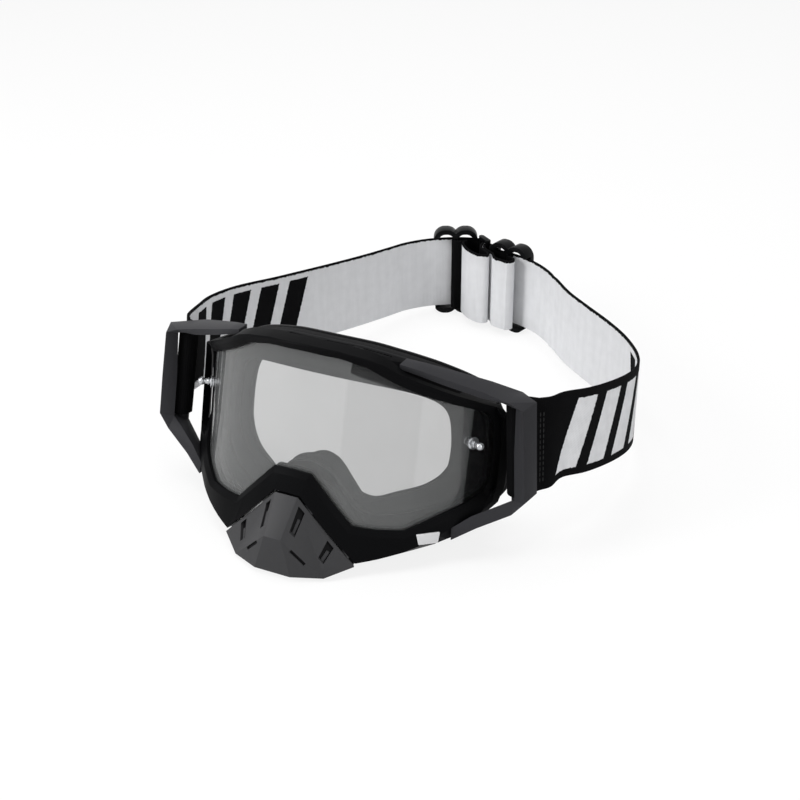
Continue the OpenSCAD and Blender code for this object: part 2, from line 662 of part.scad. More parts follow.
strap_at_bar = 29;
function route5(route) = [for (p = route) [p[0], p[1], p[2], 0, 0]];
link_wrap = link_bar_r + 0.1 + strap_t / 2;
function strap_right_route() =
  let (
    bend = [for (a = [38:6:92]) polar(BEND_RIGHT, BEND_RIGHT_R, a)],
    hook = [for (a = [0:33:198]) polar(LINK_RIGHT, link_wrap, a)],
    back = concat(bend, hook, FOLD_RIGHT)
  )
  concat(
    bar_loop(ROUTE_RIGHT[0]),
    smooth(route5(ROUTE_RIGHT), 3),
    [for (p = back) [p[0], p[1], strap_low, 0, 0]]
  );
function strap_left_route() =
  let (
    first = [-ROUTE_LEFT[0][0], ROUTE_LEFT[0][1]],
    loop = [for (p = bar_loop(first)) [-p[0], p[1], p[2], -p[3], p[4]]],
    bend = [for (a = [170:-6:102]) polar(BEND_LEFT, BEND_LEFT_R, a)],
    hook = [for (a = [100:-27.5:-10]) polar(LINK_LEFT, link_wrap, a)],
    back = concat(bend, hook, FOLD_LEFT)
  )
  concat(
    loop,
    smooth(route5(ROUTE_LEFT), 3),
    [for (p = back) [p[0], p[1], strap_low, 0, 0]]
  );
module strap_right() {
  color("#d9dadc") standing() webbing(strap_right_route(), strap_width);
}
module strap_left() {
  color("#d9dadc") standing() webbing(strap_left_route(), strap_width);
}

// Adjusters: two slots side by side, end bars outside the strap and the middle bar inside it
// Distance from the middle of the strap to the middle bar, with the sewn ply between them
bar_inset = strap_t / 2 + strap_gap + strap_t + 0.1 + centre_bar_r;
module at_adjuster(bend, radius, angle) {
  translate([bend[0], bend[1], 0]) rotate([0, 0, angle - 90]) translate([0, radius, 0]) children();
}
module rounded_slot(x0, x1, height, r) {
  for (x = [x0 + r, x1 - r]) for (z = [-height / 2 + r, height / 2 - r]) translate([x, z]) circle(r = r, $fn = 48);
  translate([x0 + r, -height / 2]) square([x1 - x0 - 2 * r, height]);
  translate([x0, -height / 2 + r]) square([x1 - x0, height - 2 * r]);
}
module adjuster_body(radius) {
  half = adjuster_length / 2;
  rail = adjuster_rail;
  inner = -bar_inset - centre_bar_r;
  passage = strap_t / 2 + strap_gap;
  outer = passage + end_bar_t + 0.5;
  slot = adjuster_height - 2 * rail;
  way = min(slot, strap_low + strap_width + strap_top_gap - rail);
  difference() {
    rotate([90, 0, 0]) translate([0, adjuster_height / 2, -outer]) linear_extrude(height = outer - inner) difference() {
      union() {
        rounded_slot(-half, rail / 2, adjuster_height, 6.6);
        rounded_slot(-rail / 2, half, adjuster_height, 6.6);
      }
      rounded_slot(-half + rail, -centre_bar_r, slot, 4);
      rounded_slot(centre_bar_r, half - rail, slot, 4);
    }
    // The passage of the strap, from its outer face to the head side
    translate([0, -radius, rail]) difference() {
      cylinder(r = radius + passage, h = way, $fn = 240);
      translate([0, 0, -1]) cylinder(r = radius - 14, h = way + 2, $fn = 240);
    }
    // The middle of the plate stops short of the outer face of the strap
    translate([-rail, -1, rail]) cube([2 * rail, 12, way]);
  }
  translate([0, -bar_inset, rail - 0.6]) cylinder(r = centre_bar_r, h = slot + 1.2, $fn = 48);
}
module adjuster_left() {
  color("#141416") standing() at_adjuster(BEND_LEFT, BEND_LEFT_R, ADJUSTER_LEFT_AT) adjuster_body(BEND_LEFT_R);
}
module adjuster_right() {
  color("#141416") standing() at_adjuster(BEND_RIGHT, BEND_RIGHT_R, ADJUSTER_RIGHT_AT) adjuster_body(BEND_RIGHT_R);
}
// Sewn strap ends round the middle bars: a flat hem on the left, the end of the open loop on the right
module sewn_tab(front) {
  r = centre_bar_r + 0.1 + strap_t / 2;
  plan = concat(
    front,
    [for (a = [front[0][0] > 4 ? 270 : 240:-30:90]) [r * cos(a), -bar_inset + r * sin(a)]],
    [[3.4, -bar_inset + r - 0.5], [6.4, -bar_inset + strap_t - 0.6]]
  );
  webbing([for (p = plan) [p[0], p[1], strap_low, 0, 0]], strap_width);
}
module strap_tab_left() {
  color("#1a1a1c") standing() at_adjuster(BEND_LEFT, BEND_LEFT_R, ADJUSTER_LEFT_AT)
    sewn_tab([[6.4, -bar_inset - 1], [3.6, -bar_inset - 1.5]]);
}
module strap_tab_right() {
  color("#d9dadc") standing() at_adjuster(BEND_RIGHT, BEND_RIGHT_R, ADJUSTER_RIGHT_AT) mirror([1, 0, 0])
    sewn_tab([[-4.4, -11.6], [-6, -9.8], [-6.2, -7.6], [-4.6, -5.6], [-2.4, -4.8]]);
}

// Centre link: two bars joined above and below the strap
module centre_link() {
  high = strap_low + strap_width + 0.5;
  low = strap_low - 0.5 - link_plate_t;
  color("#141416") standing() {
    for (p = [LINK_LEFT, LINK_RIGHT]) translate([p[0], p[1], low])
      cylinder(r = link_bar_r, h = high + link_plate_t - low, $fn = 48);
    for (z = [low, high]) translate([0, 0, z]) {
      v = LINK_RIGHT - LINK_LEFT;
      translate([LINK_LEFT[0], LINK_LEFT[1], 0]) rotate([0, 0, atan2(v[1], v[0])])
        translate([0, -1.6, 0]) cube([norm(v), 3.2, link_plate_t]);
      for (p = [LINK_LEFT, LINK_RIGHT]) translate([p[0], p[1], 0]) cylinder(r = 1.6, h = link_plate_t, $fn = 48);
    }
  }
}

frame();
lens();
post_left();
post_right();
washer_left();
washer_right();
outrigger_left();
outrigger_right();
nose_guard();
badge();
foam_base();
foam_core();
foam_fleece();
vent_foam_top();
vent_foam_left();
vent_foam_right();
strap_left();
strap_right();
strap_tab_left();
strap_tab_right();
adjuster_left();
adjuster_right();
centre_link();
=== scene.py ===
import json
import math

import bpy
from bpy.props import FloatProperty, FloatVectorProperty, IntProperty, PointerProperty
from bpy.types import Operator, Panel, PropertyGroup
from mathutils import Matrix, Vector


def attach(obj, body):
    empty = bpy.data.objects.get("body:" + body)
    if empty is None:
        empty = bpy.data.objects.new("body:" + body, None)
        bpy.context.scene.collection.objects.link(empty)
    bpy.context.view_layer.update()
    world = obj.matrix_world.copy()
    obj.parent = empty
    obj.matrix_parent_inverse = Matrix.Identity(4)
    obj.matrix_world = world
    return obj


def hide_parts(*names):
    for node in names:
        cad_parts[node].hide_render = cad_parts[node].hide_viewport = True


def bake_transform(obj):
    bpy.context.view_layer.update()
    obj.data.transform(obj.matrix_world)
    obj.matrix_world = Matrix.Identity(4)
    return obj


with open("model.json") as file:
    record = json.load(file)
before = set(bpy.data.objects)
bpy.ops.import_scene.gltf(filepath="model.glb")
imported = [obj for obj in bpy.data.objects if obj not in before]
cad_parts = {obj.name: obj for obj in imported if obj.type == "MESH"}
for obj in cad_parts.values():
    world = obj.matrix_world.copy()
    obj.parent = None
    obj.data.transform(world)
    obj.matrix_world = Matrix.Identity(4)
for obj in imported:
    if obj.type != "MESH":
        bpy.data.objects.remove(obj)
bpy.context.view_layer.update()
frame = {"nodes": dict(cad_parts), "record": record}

bl_info = {
    "name": "Motocross goggles",
    "version": (1, 0, 0),
    "blender": (4, 5, 0),
    "location": "View3D > Sidebar > Goggles",
    "description": "Builds the frame, lens, foam, strap and hardware of a pair of motocross goggles",
    "category": "Object",
}

# Places are written in millimetres, in the frame of the drawing, and shifted to the origin of the goggles
MM = 0.001
ORIGIN = (6.17, 129.11)
# The goggles lean back by this much, as they lie on the floor, and stand this high over it
LEAN = math.radians(14.0)
REST_HEIGHT = 42.0
# The lens bends round an upright line this far behind its front
LENS_AXIS = 78.5
# Faces of the frame nearer to that line than INNER_FROM that look at MIDDLE are its inner faces. They are
# grey up to INNER_GREY_TO from the middle and take the shell's finish past it. The shell behind the rim is
# darker and matt inside SHELL_FROM: painted shade between the rim and the foam.
INNER_FROM = 73.2
INNER_GREY_TO = 64.0
SHELL_FROM = 74.2
MIDDLE = (0.0, 24.0, 16.0)
# Painted reflection on the lens veil: where it ends at the sides and where its painted reflection bands
# start, in degrees round the lens
REFLECTION_EDGE = 59.6
REFLECTION_BANDS = ((14.6, 0.12), (39.8, 0.10))
REFLECTION_SOFT = 0.03
# Above this slanted line, in metres, and past these degrees the painted reflection is mostly taken off the
# lens
UNREFLECTED_LINE = (0.0532, 0.0542)
UNREFLECTED_LINE_FALL = 0.0178
UNREFLECTED_SIDE = (16.0, 16.5)
# The seat of the foam: its depth at the middle, and how fast it curves back to the sides
SEAT_DEPTH = 18.5
FACE_SPREAD = 126.0

# Outer outline of the foam, right half: x, z
SEAT = [
    (0, 58), (17, 57.4), (29, 55.4), (38, 53.2), (46, 50.6), (55, 46.6), (61.5, 42.4),
    (65.5, 37), (69, 30), (73, 17), (75, 0), (74.5, -9), (70, -16.4), (63, -21.6),
    (55, -26), (48, -28.6), (41, -30.2), (34, -30.6), (27, -26.4), (20, -18.6), (12.6, -10.2), (0, -5.4),
]
# Inner outline of the foam, right half: x, z
FACE = [
    (0, 41.4), (15, 41), (27, 40), (33.4, 39.2), (39, 38.2), (45, 36.6), (49.6, 34.6),
    (53, 31.4), (55, 26), (56.2, 15), (56, 5), (54, 1), (50.5, -3), (45, -6.8),
    (40, -8.8), (34, -10.8), (26.4, -13.6), (20.8, -12.2), (16.6, -8), (12.6, -2), (8, 2.6), (0, 4.8),
]
# The same outline at the fleece, which is a little closer round the eyes and nose
REAR_FACE = [
    (0, 40.2), (15, 39.8), (27, 38.9), (33.4, 38), (38.6, 36.8), (43.6, 35), (47.2, 32.4),
    (49.8, 28.6), (51.4, 23.8), (52.5, 15), (52.3, 5), (50.9, 1), (48.4, -3), (43.9, -6.8),
    (39.4, -9), (33, -11.4), (25, -14.6), (18.6, -13.6), (14.2, -9.8), (10.4, -3.8), (6.4, 0.8), (0, 2.8),
]
# Strap routes from the outriggers to the adjusters: x, y and height of the lower edge
ROUTE_RIGHT = [
    (102, 64.5, 31.2), (108.4, 79, 27.8), (113, 98, 23.4), (115, 117, 19), (113.6, 134, 15),
    (109, 150, 11.4), (102, 165, 8.6), (91.5, 180.4, 6.8), (78, 195, 5.6), (63, 208.6, 4.8),
    (47.4, 223, 4.1), (35, 237.2, 3.7),
]
ROUTE_LEFT = [
    (-97.4, 80, 27.4), (-102, 98, 24), (-102, 122, 19.6), (-95.4, 152, 14.2), (-87.4, 182, 9.6),
    (-78.8, 206, 6.4), (-74.6, 221, 4.6),
]
# Bends that the adjusters slide on, as centre and radius, and each adjuster's place there in degrees
BEND_LEFT = ((-16.2, 218.2), 58.0)
BEND_RIGHT = ((-15.5, 203.6), 60.0)
ADJUSTER_LEFT_AT = 116.0
ADJUSTER_RIGHT_AT = 77.0
STRAP_LOW = 3.5
# Bars of the centre link, and the radius of the webbing round them
LINK_LEFT = (-26.0, 273.0)
LINK_RIGHT = (-20.0, 268.4)
LINK_WRAP = 1.85
# Each webbing in degrees: its lead into the bend, the bend, and the hook round the link's bar. The last
# number is how many stations into the bend its faces turn dark: painted shade inside the loop at the link.
ARCS_LEFT = ((170, 166, 162), range(159, 103, -3), range(100, -11, -15), 16)
ARCS_RIGHT = ((38, 42, 46), range(49, 93, 3), range(0, 199, 15), 11)
# Way of each sewn end from the link back to its adjuster, and where on the link's bar it starts in degrees
LOOP_FROM_LEFT = -10
LOOP_FROM_RIGHT = 198
FOLD_LEFT = [
    (-23.6, 267), (-22, 262.8), (-18.6, 259.6), (-15.4, 257.2), (-14.2, 254.8), (-16, 252.8),
    (-20, 252.8), (-26, 255.6), (-31.4, 260.4), (-34.2, 264.4), (-34.8, 267),
]
FOLD_RIGHT = [
    (-20.8, 264.6), (-18.6, 261.8), (-15.6, 259.8), (-12.6, 257.6), (-11, 255), (-9, 252.4),
    (-4.8, 250.8), (-1.3, 250.3),
]
# Corners of the nose guard's right half
GUARD_TOP = (5.6, -3.4, -9.2)
GUARD_RIDGE = (4.2, -13.2, -26.7)
GUARD_CHEEK = (33, 3.6, -36.9)
GUARD_JAW = (22.6, -4.4, -42.6)
# Slots of the nose guard: across the cheek from and to, down it from and to, and the slant of the lower end
CHEEK_SLOTS = [(0.06, 0.17, 0.12, 0.72, -0.03), (0.58, 0.70, 0.12, 0.68, -0.09)]
SLOT_WAY = (-0.365, 0.913, 0.183)
# Slot beside the chin: its middle, the ways along, across and into it, and half its length and width
CHIN_SLOT = ((12, -10.6, -34), (0.700, 0.312, -0.643), (0.587, 0.261, 0.766), (-0.407, 0.914, 0.0))
CHIN_HALF = (4.5, 0.7)
# Trays behind the slots: front and back behind the face, and the share that the back keeps
CHEEK_TRAY = (2.2, 4.6, 0.75)
CHIN_TRAY = (2.0, 3.6, 0.8)
TRAY_MARGIN = 1.06
TRAY_WALL = 0.5
LOUVRE_DEPTHS = (1.3, 2.5)
# Flange of the nose guard: how far under the upper edge, how thick, and from and to how far back
FLANGE_DROP = 0.35
FLANGE_THICK = 1.1
FLANGE_BACK = (0.9, 6.0)
FLANGE_DRAW = 0.01
# Bar of the right outrigger that the strap goes round
STRAP_BAR_TOP = (83.8, 43.2, 44.0)
STRAP_BAR_LOW = (88.4, 49.0, -5.0)
STRAP_BAR_R = 2.6
STRAP_BAR_GAP = 0.7
STRAP_BAR_PLY = 0.3
STRAP_AT_BAR = 29.0
STRAP_NOMINAL = 44.0
# Turned end and outgoing end of the strap at that bar: ahead of it and in from, or out from, its sides
TURNED_END = ((10.5, 0.6), (7.0, 0.2))
OUTGOING_END = ((9.0, 1.2), (15.0, 1.0))
# Away from the bar the strap stands up step by step, and its lower edge rises
STAND_UP = (1.0, 0.8, 0.55)
EDGE_RISE = (0.0, 0.3, 1.1)
# The left loop lies against the outer side of its bar
LOOP_PULL = 0.6
# Bar of an adjuster that the sewn end turns round, and the gaps to it and between the plies
ADJUSTER_BAR_R = 1.1
ADJUSTER_GAP = 0.1
PLY_GAP = 0.4
# Way to that bar: on the right from the adjuster's middle, on the left from the bar itself
TAB_RIGHT = [(-4.4, -11.6), (-6, -9.8), (-6.2, -7.6), (-4.6, -5.6), (-2.4, -4.8)]
TAB_LEFT = [(6.4, -1), (3.6, -1.5)]
# Columns of faces over the webbing's height, how far its faces stop short of its edges in shares of its
# thickness, and the steps between two points of a run and of a loop
STRAP_COLUMNS = 10
EDGE_INSET = 0.25
RUN_STEPS = 6
LOOP_STEPS = 5
# Woven bars of the strap, in metres along and across the webbing
BAR_START = 0.041
BAR_PITCH = 0.0215
BAR_SHARE = 0.64
BAR_COUNT = 5
BAR_SLANT = 0.36
BAR_FRAY = 0.0014
BAR_LOW = 0.0042
BAR_HIGH = 0.0398
STRAP_BORDER = 0.0429
RIB_PITCH = 0.0012
PICK_PITCH = 0.0009
# Shares of the checks and the picks in the height of the weave, and of creases and of painted thread shade in
# its tone
CHECK_HEIGHT = 0.35
PICK_HEIGHT = 0.25
CREASE_SHARE = 0.16
THREAD_SHADE_SHARE = 0.1
CREASE_STRETCH = (1.0, 0.12, 1.0)
# The left webbing's run is relaxed over the last stations before its bend
EASE_ROUNDS = 400
EASE_FROM = 36
EASE_PAST = 3
STITCH_PITCH = 2.6
STITCH_MARGIN = 4.0
STITCH_PROUD = 0.05
# Shares of the pitch from a stitch's middle to its tips and to its two rings, and the four points of a ring
STITCH_TIP = 0.45
STITCH_RING = 0.2
STITCH_GIRTH = ((-0.3, 0), (0, 0.25), (0.3, 0), (0, -0.25))
# Places of the two sewn rows, as shares of the last step of an end
SEWN_AT = (0.3, 0.8)

# Grain of the plastics: cells a metre, and its depth in metres
GRAIN = 1800.0
GRAIN_DEPTH = 0.00003
# Scales of the other patterns, on coordinates in metres
CLOUDS = 26
YARN_MOTTLE = 160
CREASES = 220
FRAYS = 900
FOAM_LUMPS = 120
LENS_SMEARS = 34
# A copied CAD mesh is merged over this gap, in metres, and bevelled where it turns by more than this
MERGE_GAP = 0.000004
BEVEL_FROM = 24.0

# Softboxes: name, place, target, width, height and power
LAMPS = (
    ("overhead softbox", (-0.1, 0.1, 1.2), (0, 0, 0.03), 1.0, 1.0, 11),
    ("left softbox", (-0.75, -0.75, 0.65), (0, -0.05, 0.05), 0.4, 0.6, 9),
    ("right softbox", (1.0, -0.5, 0.5), (0, -0.05, 0.05), 0.5, 0.8, 3),
)
# Strength of the white surroundings as light, how much stronger they are where they are seen, and the
# share of plain white in the floor where it is seen
SURROUND = 0.34
SEEN_MORE = 0.66
FLOOR_GLOW = 0.84
CAMERA_PLACE = (274.93, -596.61, 371.4)
CAMERA_TARGET = (7.98, -49.5, 42.93)
CAMERA_ROLL = -0.19
CAMERA_LENS = 65.1


# ---- places and curves

def standing(x, y, z):
    """A place of the drawing, in metres from the origin of the goggles."""
    return Vector(((x - ORIGIN[0]) * MM, (y - ORIGIN[1]) * MM, z * MM))


def leaning(x, y, z):
    """The same for a place that is written upright and leans with the goggles."""
    c, s = math.cos(LEAN), math.sin(LEAN)
    return standing(x, y * c + z * s, z * c - y * s + REST_HEIGHT)


def unlean(p):
    """The upright place, in millimetres, of a point of the leaning goggles."""
    c, s = math.cos(LEAN), math.sin(LEAN)
    x, y, z = p[0] / MM + ORIGIN[0], p[1] / MM + ORIGIN[1], p[2] / MM - REST_HEIGHT
    return Vector((x, y * c - z * s, y * s + z * c))


def curve_point(a, b, c, d, t):
    """A point between b and c on the smooth curve through four points."""
    return [
        0.5 * (2 * q + (r - p) * t + (2 * p - 5 * q + 4 * r - s) * t * t + (3 * q - p - 3 * r + s) * t ** 3)
        for p, q, r, s in zip(a, b, c, d)
    ]


def smooth_route(route, steps):
    last, out = len(route) - 1, []
    for i in range(last):
        quad = [route[max(i - 1, 0)], route[i], route[i + 1], route[min(i + 2, last)]]
        out += [curve_point(*quad, k / steps) for k in range(steps)]
    return out + [list(route[-1])]


def smooth_loop(route, steps):
    n, out = len(route), []
    for i in range(n):
        quad = [route[(i + k) % n] for k in (-1, 0, 1, 2)]
        out += [curve_point(*quad, k / steps) for k in range(steps)]
    return out


def full_loop(half):
    """The closed outline of a right half that starts and ends in the middle."""
    return list(half) + [(-x, z) for x, z in half[-2:0:-1]]


def heading(a, b):
    return Vector((b[0] - a[0], b[1] - a[1])).normalized()


def grown(loop, by):
    """The loop with each point moved square to it."""
    out, n = [], len(loop)
    for i, p in enumerate(loop):
        a, b = heading(loop[i - 1], p), heading(p, loop[(i + 1) % n])
        m = Vector((-(a.y + b.y), a.x + b.x)).normalized()
        out.append((p[0] + m.x * by, p[1] + m.y * by))
    return out


def seat_y(x):
    """Depth of the foam's seat at a distance from the middle."""
    return SEAT_DEPTH + x * x / FACE_SPREAD


def polar(centre, radius, angle):
    a = math.radians(angle)
    return (centre[0] + radius * math.cos(a), centre[1] + radius * math.sin(a))


# ---- making and finishing pieces

def clear_selection():
    if bpy.context.mode != "OBJECT":
        bpy.ops.object.mode_set(mode="OBJECT")
    bpy.ops.object.select_all(action="DESELECT")


def make_active(ob):
    clear_selection()
    ob.select_set(True)
    bpy.context.view_layer.objects.active = ob


def new_piece(name, points, faces, uvs=None, slots=None):
    """A piece from its points and faces, with a UV for each point and a material slot for each face."""
    me = bpy.data.meshes.new(name)
    me.from_pydata(points, [], faces)
    me.validate()
    if uvs:
        layer = me.uv_layers.new(name="UVMap")
        for poly in me.polygons:
            for loop in poly.loop_indices:
                layer.data[loop].uv = uvs[me.loops[loop].vertex_index]
    if slots:
        for poly, k in zip(me.polygons, slots):
            poly.material_index = k
    ob = bpy.data.objects.new(name, me)
    bpy.context.collection.objects.link(ob)
    return ob


def face_out(ob):
    make_active(ob)
    bpy.ops.object.mode_set(mode="EDIT")
    bpy.ops.mesh.select_all(action="SELECT")
    bpy.ops.mesh.normals_make_consistent(inside=False)
    bpy.ops.object.mode_set(mode="OBJECT")


def shade(ob, angle):
    make_active(ob)
    bpy.ops.object.shade_smooth_by_angle(angle=math.radians(angle))


def apply_modifiers(ob):
    make_active(ob)
    for m in list(ob.modifiers):
        bpy.ops.object.modifier_apply(modifier=m.name)


def dress(ob, *mats):
    for m in mats:
        ob.data.materials.append(m)


def copy_of_node(node, name, bevel, segments=2, smooth=38.0, dissolve=0.6):
    """A merged and bevelled copy of a node's mesh that stands for the node. Angles are in degrees."""
    source = frame["nodes"][node]
    ob = bpy.data.objects.new(name, source.data.copy())
    bpy.context.collection.objects.link(ob)
    ob.data.materials.clear()
    make_active(ob)
    bpy.ops.object.mode_set(mode="EDIT")
    bpy.ops.mesh.select_all(action="SELECT")
    bpy.ops.mesh.remove_doubles(threshold=MERGE_GAP)
    bpy.ops.mesh.dissolve_limited(angle_limit=math.radians(dissolve))
    bpy.ops.object.mode_set(mode="OBJECT")
    if bevel:
        m = ob.modifiers.new("edge", "BEVEL")
        m.width, m.segments, m.limit_method = bevel * MM, segments, "ANGLE"
        m.angle_limit = math.radians(BEVEL_FROM)
        m.use_clamp_overlap = True
        m.miter_outer = "MITER_ARC"
        apply_modifiers(ob)
    shade(ob, smooth)
    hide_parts(node)
    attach(ob, body_name(node))
    return ob


def body_name(node):
    for body, nodes in frame["record"]["behaviour"]["bodies"].items():
        if node in nodes:
            return body
    raise RuntimeError(node + " is on no body")


# ---- materials

def node_group(name, sockets_in, sockets_out):
    """A new group with its input and output nodes, or the one of that name and None twice."""
    if name in bpy.data.node_groups:
        return bpy.data.node_groups[name], None, None
    g = bpy.data.node_groups.new(name, "ShaderNodeTree")
    for label, kind, value in sockets_in:
        s = g.interface.new_socket(label, in_out="INPUT", socket_type=kind)
        if value is not None:
            s.default_value = value
    for label, kind in sockets_out:
        g.interface.new_socket(label, in_out="OUTPUT", socket_type=kind)
    a = g.nodes.new("NodeGroupInput")
    b = g.nodes.new("NodeGroupOutput")
    a.location, b.location = (-900, 0), (600, 0)
    return g, a, b


def add(tree, kind, **values):
    n = tree.nodes.new(kind)
    for k, v in values.items():
        setattr(n, k, v)
    return n


def noise(tree, place, scale, detail):
    n = add(tree, "ShaderNodeTexNoise")
    n.inputs["Scale"].default_value = scale
    n.inputs["Detail"].default_value = detail
    tree.links.new(place, n.inputs["Vector"])
    return n


def swing_of(tree, texture, share):
    """The texture's value about zero, times a share."""
    return math_node(tree, "MULTIPLY", math_node(tree, "SUBTRACT", texture.outputs["Fac"], 0.5), share)


def toned(tree, base, tone, out):
    """Sends a base colour times a tone to a group's colour output."""
    grey = add(tree, "ShaderNodeCombineColor")
    for k in range(3):
        tree.links.new(tone, grey.inputs[k])
    mix = add(tree, "ShaderNodeMix", data_type="RGBA", blend_type="MULTIPLY")
    mix.inputs["Factor"].default_value = 1.0
    tree.links.new(base, mix.inputs[6])
    tree.links.new(grey.outputs[0], mix.inputs[7])
    tree.links.new(mix.outputs[2], out)


def math_node(tree, op, a, b=None, clamp=False):
    n = add(tree, "ShaderNodeMath", operation=op, use_clamp=clamp)
    for socket, v in zip(n.inputs, (a, b)):
        if isinstance(v, (int, float)):
            socket.default_value = v
        elif v is not None:
            tree.links.new(v, socket)
    return n.outputs[0]


def total(tree, op, *values):
    """The values taken together from the left by one operation."""
    out = values[0]
    for v in values[1:]:
        out = math_node(tree, op, out, v)
    return out


def moulded_group():
    """Fine grain of moulded plastic: height, roughness and a slight shift of colour."""
    g, a, b = node_group(
        "Moulded grain",
        [("Base", "NodeSocketColor", (0.02, 0.02, 0.02, 1)), ("Rough", "NodeSocketFloat", 0.4),
         ("Grain", "NodeSocketFloat", GRAIN), ("Variation", "NodeSocketFloat", 0.15)],
        [("Color", "NodeSocketColor"), ("Roughness", "NodeSocketFloat"), ("Height", "NodeSocketFloat")],
    )
    if a is None:
        return g
    place = g.nodes.new("ShaderNodeTexCoord")
    fine = noise(g, place.outputs["Object"], GRAIN, 3)
    g.links.new(a.outputs["Grain"], fine.inputs["Scale"])
    swing = swing_of(g, noise(g, place.outputs["Object"], CLOUDS, 4), a.outputs["Variation"])
    rough = math_node(g, "ADD", a.outputs["Rough"], swing, clamp=True)
    tone = math_node(g, "ADD", 1.0, math_node(g, "MULTIPLY", swing, 1.2))
    toned(g, a.outputs["Base"], tone, b.inputs["Color"])
    g.links.new(rough, b.inputs["Roughness"])
    g.links.new(fine.outputs["Fac"], b.inputs["Height"])
    return g


def weave_group():
    """Woven elastic on a UV map in metres: ribs across, picks along, and mottled yarn."""
    g, a, b = node_group(
        "Elastic weave",
        [("Base", "NodeSocketColor", (0.6, 0.6, 0.6, 1)),
         ("Second", "NodeSocketColor", (0.02, 0.02, 0.02, 1)),
         ("Bars", "NodeSocketFloat", 0.0), ("Border", "NodeSocketFloat", 0.0),
         ("Mottle", "NodeSocketFloat", 0.2)],
        [("Color", "NodeSocketColor"), ("Height", "NodeSocketFloat")],
    )
    if a is None:
        return g
    uv = g.nodes.new("ShaderNodeTexCoord")
    split = add(g, "ShaderNodeSeparateXYZ")
    g.links.new(uv.outputs["UV"], split.inputs[0])
    along, across = split.outputs[0], split.outputs[1]
    rib = math_node(g, "SINE", math_node(g, "MULTIPLY", across, 2 * math.pi / RIB_PITCH))
    pick = math_node(g, "SINE", math_node(g, "MULTIPLY", along, 2 * math.pi / PICK_PITCH))
    check = math_node(g, "MULTIPLY", math_node(g, "MULTIPLY", rib, pick), CHECK_HEIGHT)
    height = math_node(g, "ADD", check, math_node(g, "MULTIPLY", pick, PICK_HEIGHT))
    mottle = swing_of(g, noise(g, uv.outputs["UV"], YARN_MOTTLE, 5), a.outputs["Mottle"])
    # Faint creases that run across the webbing
    stretch = add(g, "ShaderNodeMapping")
    stretch.inputs["Scale"].default_value = CREASE_STRETCH
    g.links.new(uv.outputs["UV"], stretch.inputs["Vector"])
    mottle = math_node(g, "ADD", mottle, swing_of(g, noise(g, stretch.outputs[0], CREASES, 3), CREASE_SHARE))
    # Painted shade: the tone follows the weave's height, darker where the threads lie low
    thread_shade = math_node(g, "MULTIPLY", height, THREAD_SHADE_SHARE)
    tone = math_node(g, "ADD", 1.0, math_node(g, "ADD", mottle, thread_shade))
    # Slanted bars: within a stretch of the strap and clear of both edges, with a slightly frayed outline
    fray = swing_of(g, noise(g, uv.outputs["UV"], FRAYS, 2), BAR_FRAY)
    slant = math_node(g, "SUBTRACT", along, math_node(g, "MULTIPLY", across, BAR_SLANT))
    slant = math_node(g, "ADD", slant, fray)
    turn = math_node(g, "DIVIDE", math_node(g, "SUBTRACT", slant, BAR_START), BAR_PITCH)
    bar = math_node(g, "LESS_THAN", math_node(g, "FRACT", turn), BAR_SHARE)
    first = math_node(g, "GREATER_THAN", slant, BAR_START)
    last = math_node(g, "LESS_THAN", slant, BAR_START + BAR_PITCH * BAR_COUNT)
    wavy = math_node(g, "ADD", across, fray)
    low = math_node(g, "GREATER_THAN", wavy, BAR_LOW)
    high = math_node(g, "LESS_THAN", wavy, BAR_HIGH)
    mask = total(g, "MULTIPLY", bar, first, last, low, high, a.outputs["Bars"])
    # The yarns of the other face come round the upper edge
    hem = math_node(g, "ADD", across, math_node(g, "MULTIPLY", fray, 1.4))
    border = math_node(g, "GREATER_THAN", hem, STRAP_BORDER)
    mask = math_node(g, "MAXIMUM", mask, math_node(g, "MULTIPLY", border, a.outputs["Border"]))
    pick_colour = add(g, "ShaderNodeMix", data_type="RGBA")
    g.links.new(mask, pick_colour.inputs[0])
    g.links.new(a.outputs["Base"], pick_colour.inputs[6])
    g.links.new(a.outputs["Second"], pick_colour.inputs[7])
    toned(g, pick_colour.outputs[2], tone, b.inputs["Color"])
    g.links.new(height, b.inputs["Height"])
    return g


def foam_group():
    """Open cells of foam or the pile of fleece, in object space."""
    g, a, b = node_group(
        "Foam cells",
        [("Base", "NodeSocketColor", (0.05, 0.05, 0.05, 1)), ("Cells", "NodeSocketFloat", 900.0),
         ("Mottle", "NodeSocketFloat", 0.5)],
        [("Color", "NodeSocketColor"), ("Height", "NodeSocketFloat")],
    )
    if a is None:
        return g
    place = g.nodes.new("ShaderNodeTexCoord")
    cells = add(g, "ShaderNodeTexVoronoi")
    g.links.new(place.outputs["Object"], cells.inputs["Vector"])
    g.links.new(a.outputs["Cells"], cells.inputs["Scale"])
    lumps = noise(g, place.outputs["Object"], FOAM_LUMPS, 4)
    swing = swing_of(g, lumps, a.outputs["Mottle"])
    # Painted shade: the tone is darker in the pits of the cells, where the bump's height is low
    painted_pit_shade = math_node(g, "MULTIPLY", cells.outputs["Distance"], 0.35)
    tone = total(g, "ADD", 0.85, swing, painted_pit_shade)
    toned(g, a.outputs["Base"], tone, b.inputs["Color"])
    half = math_node(g, "MULTIPLY", lumps.outputs["Fac"], 0.5)
    g.links.new(math_node(g, "ADD", cells.outputs["Distance"], half), b.inputs["Height"])
    return g


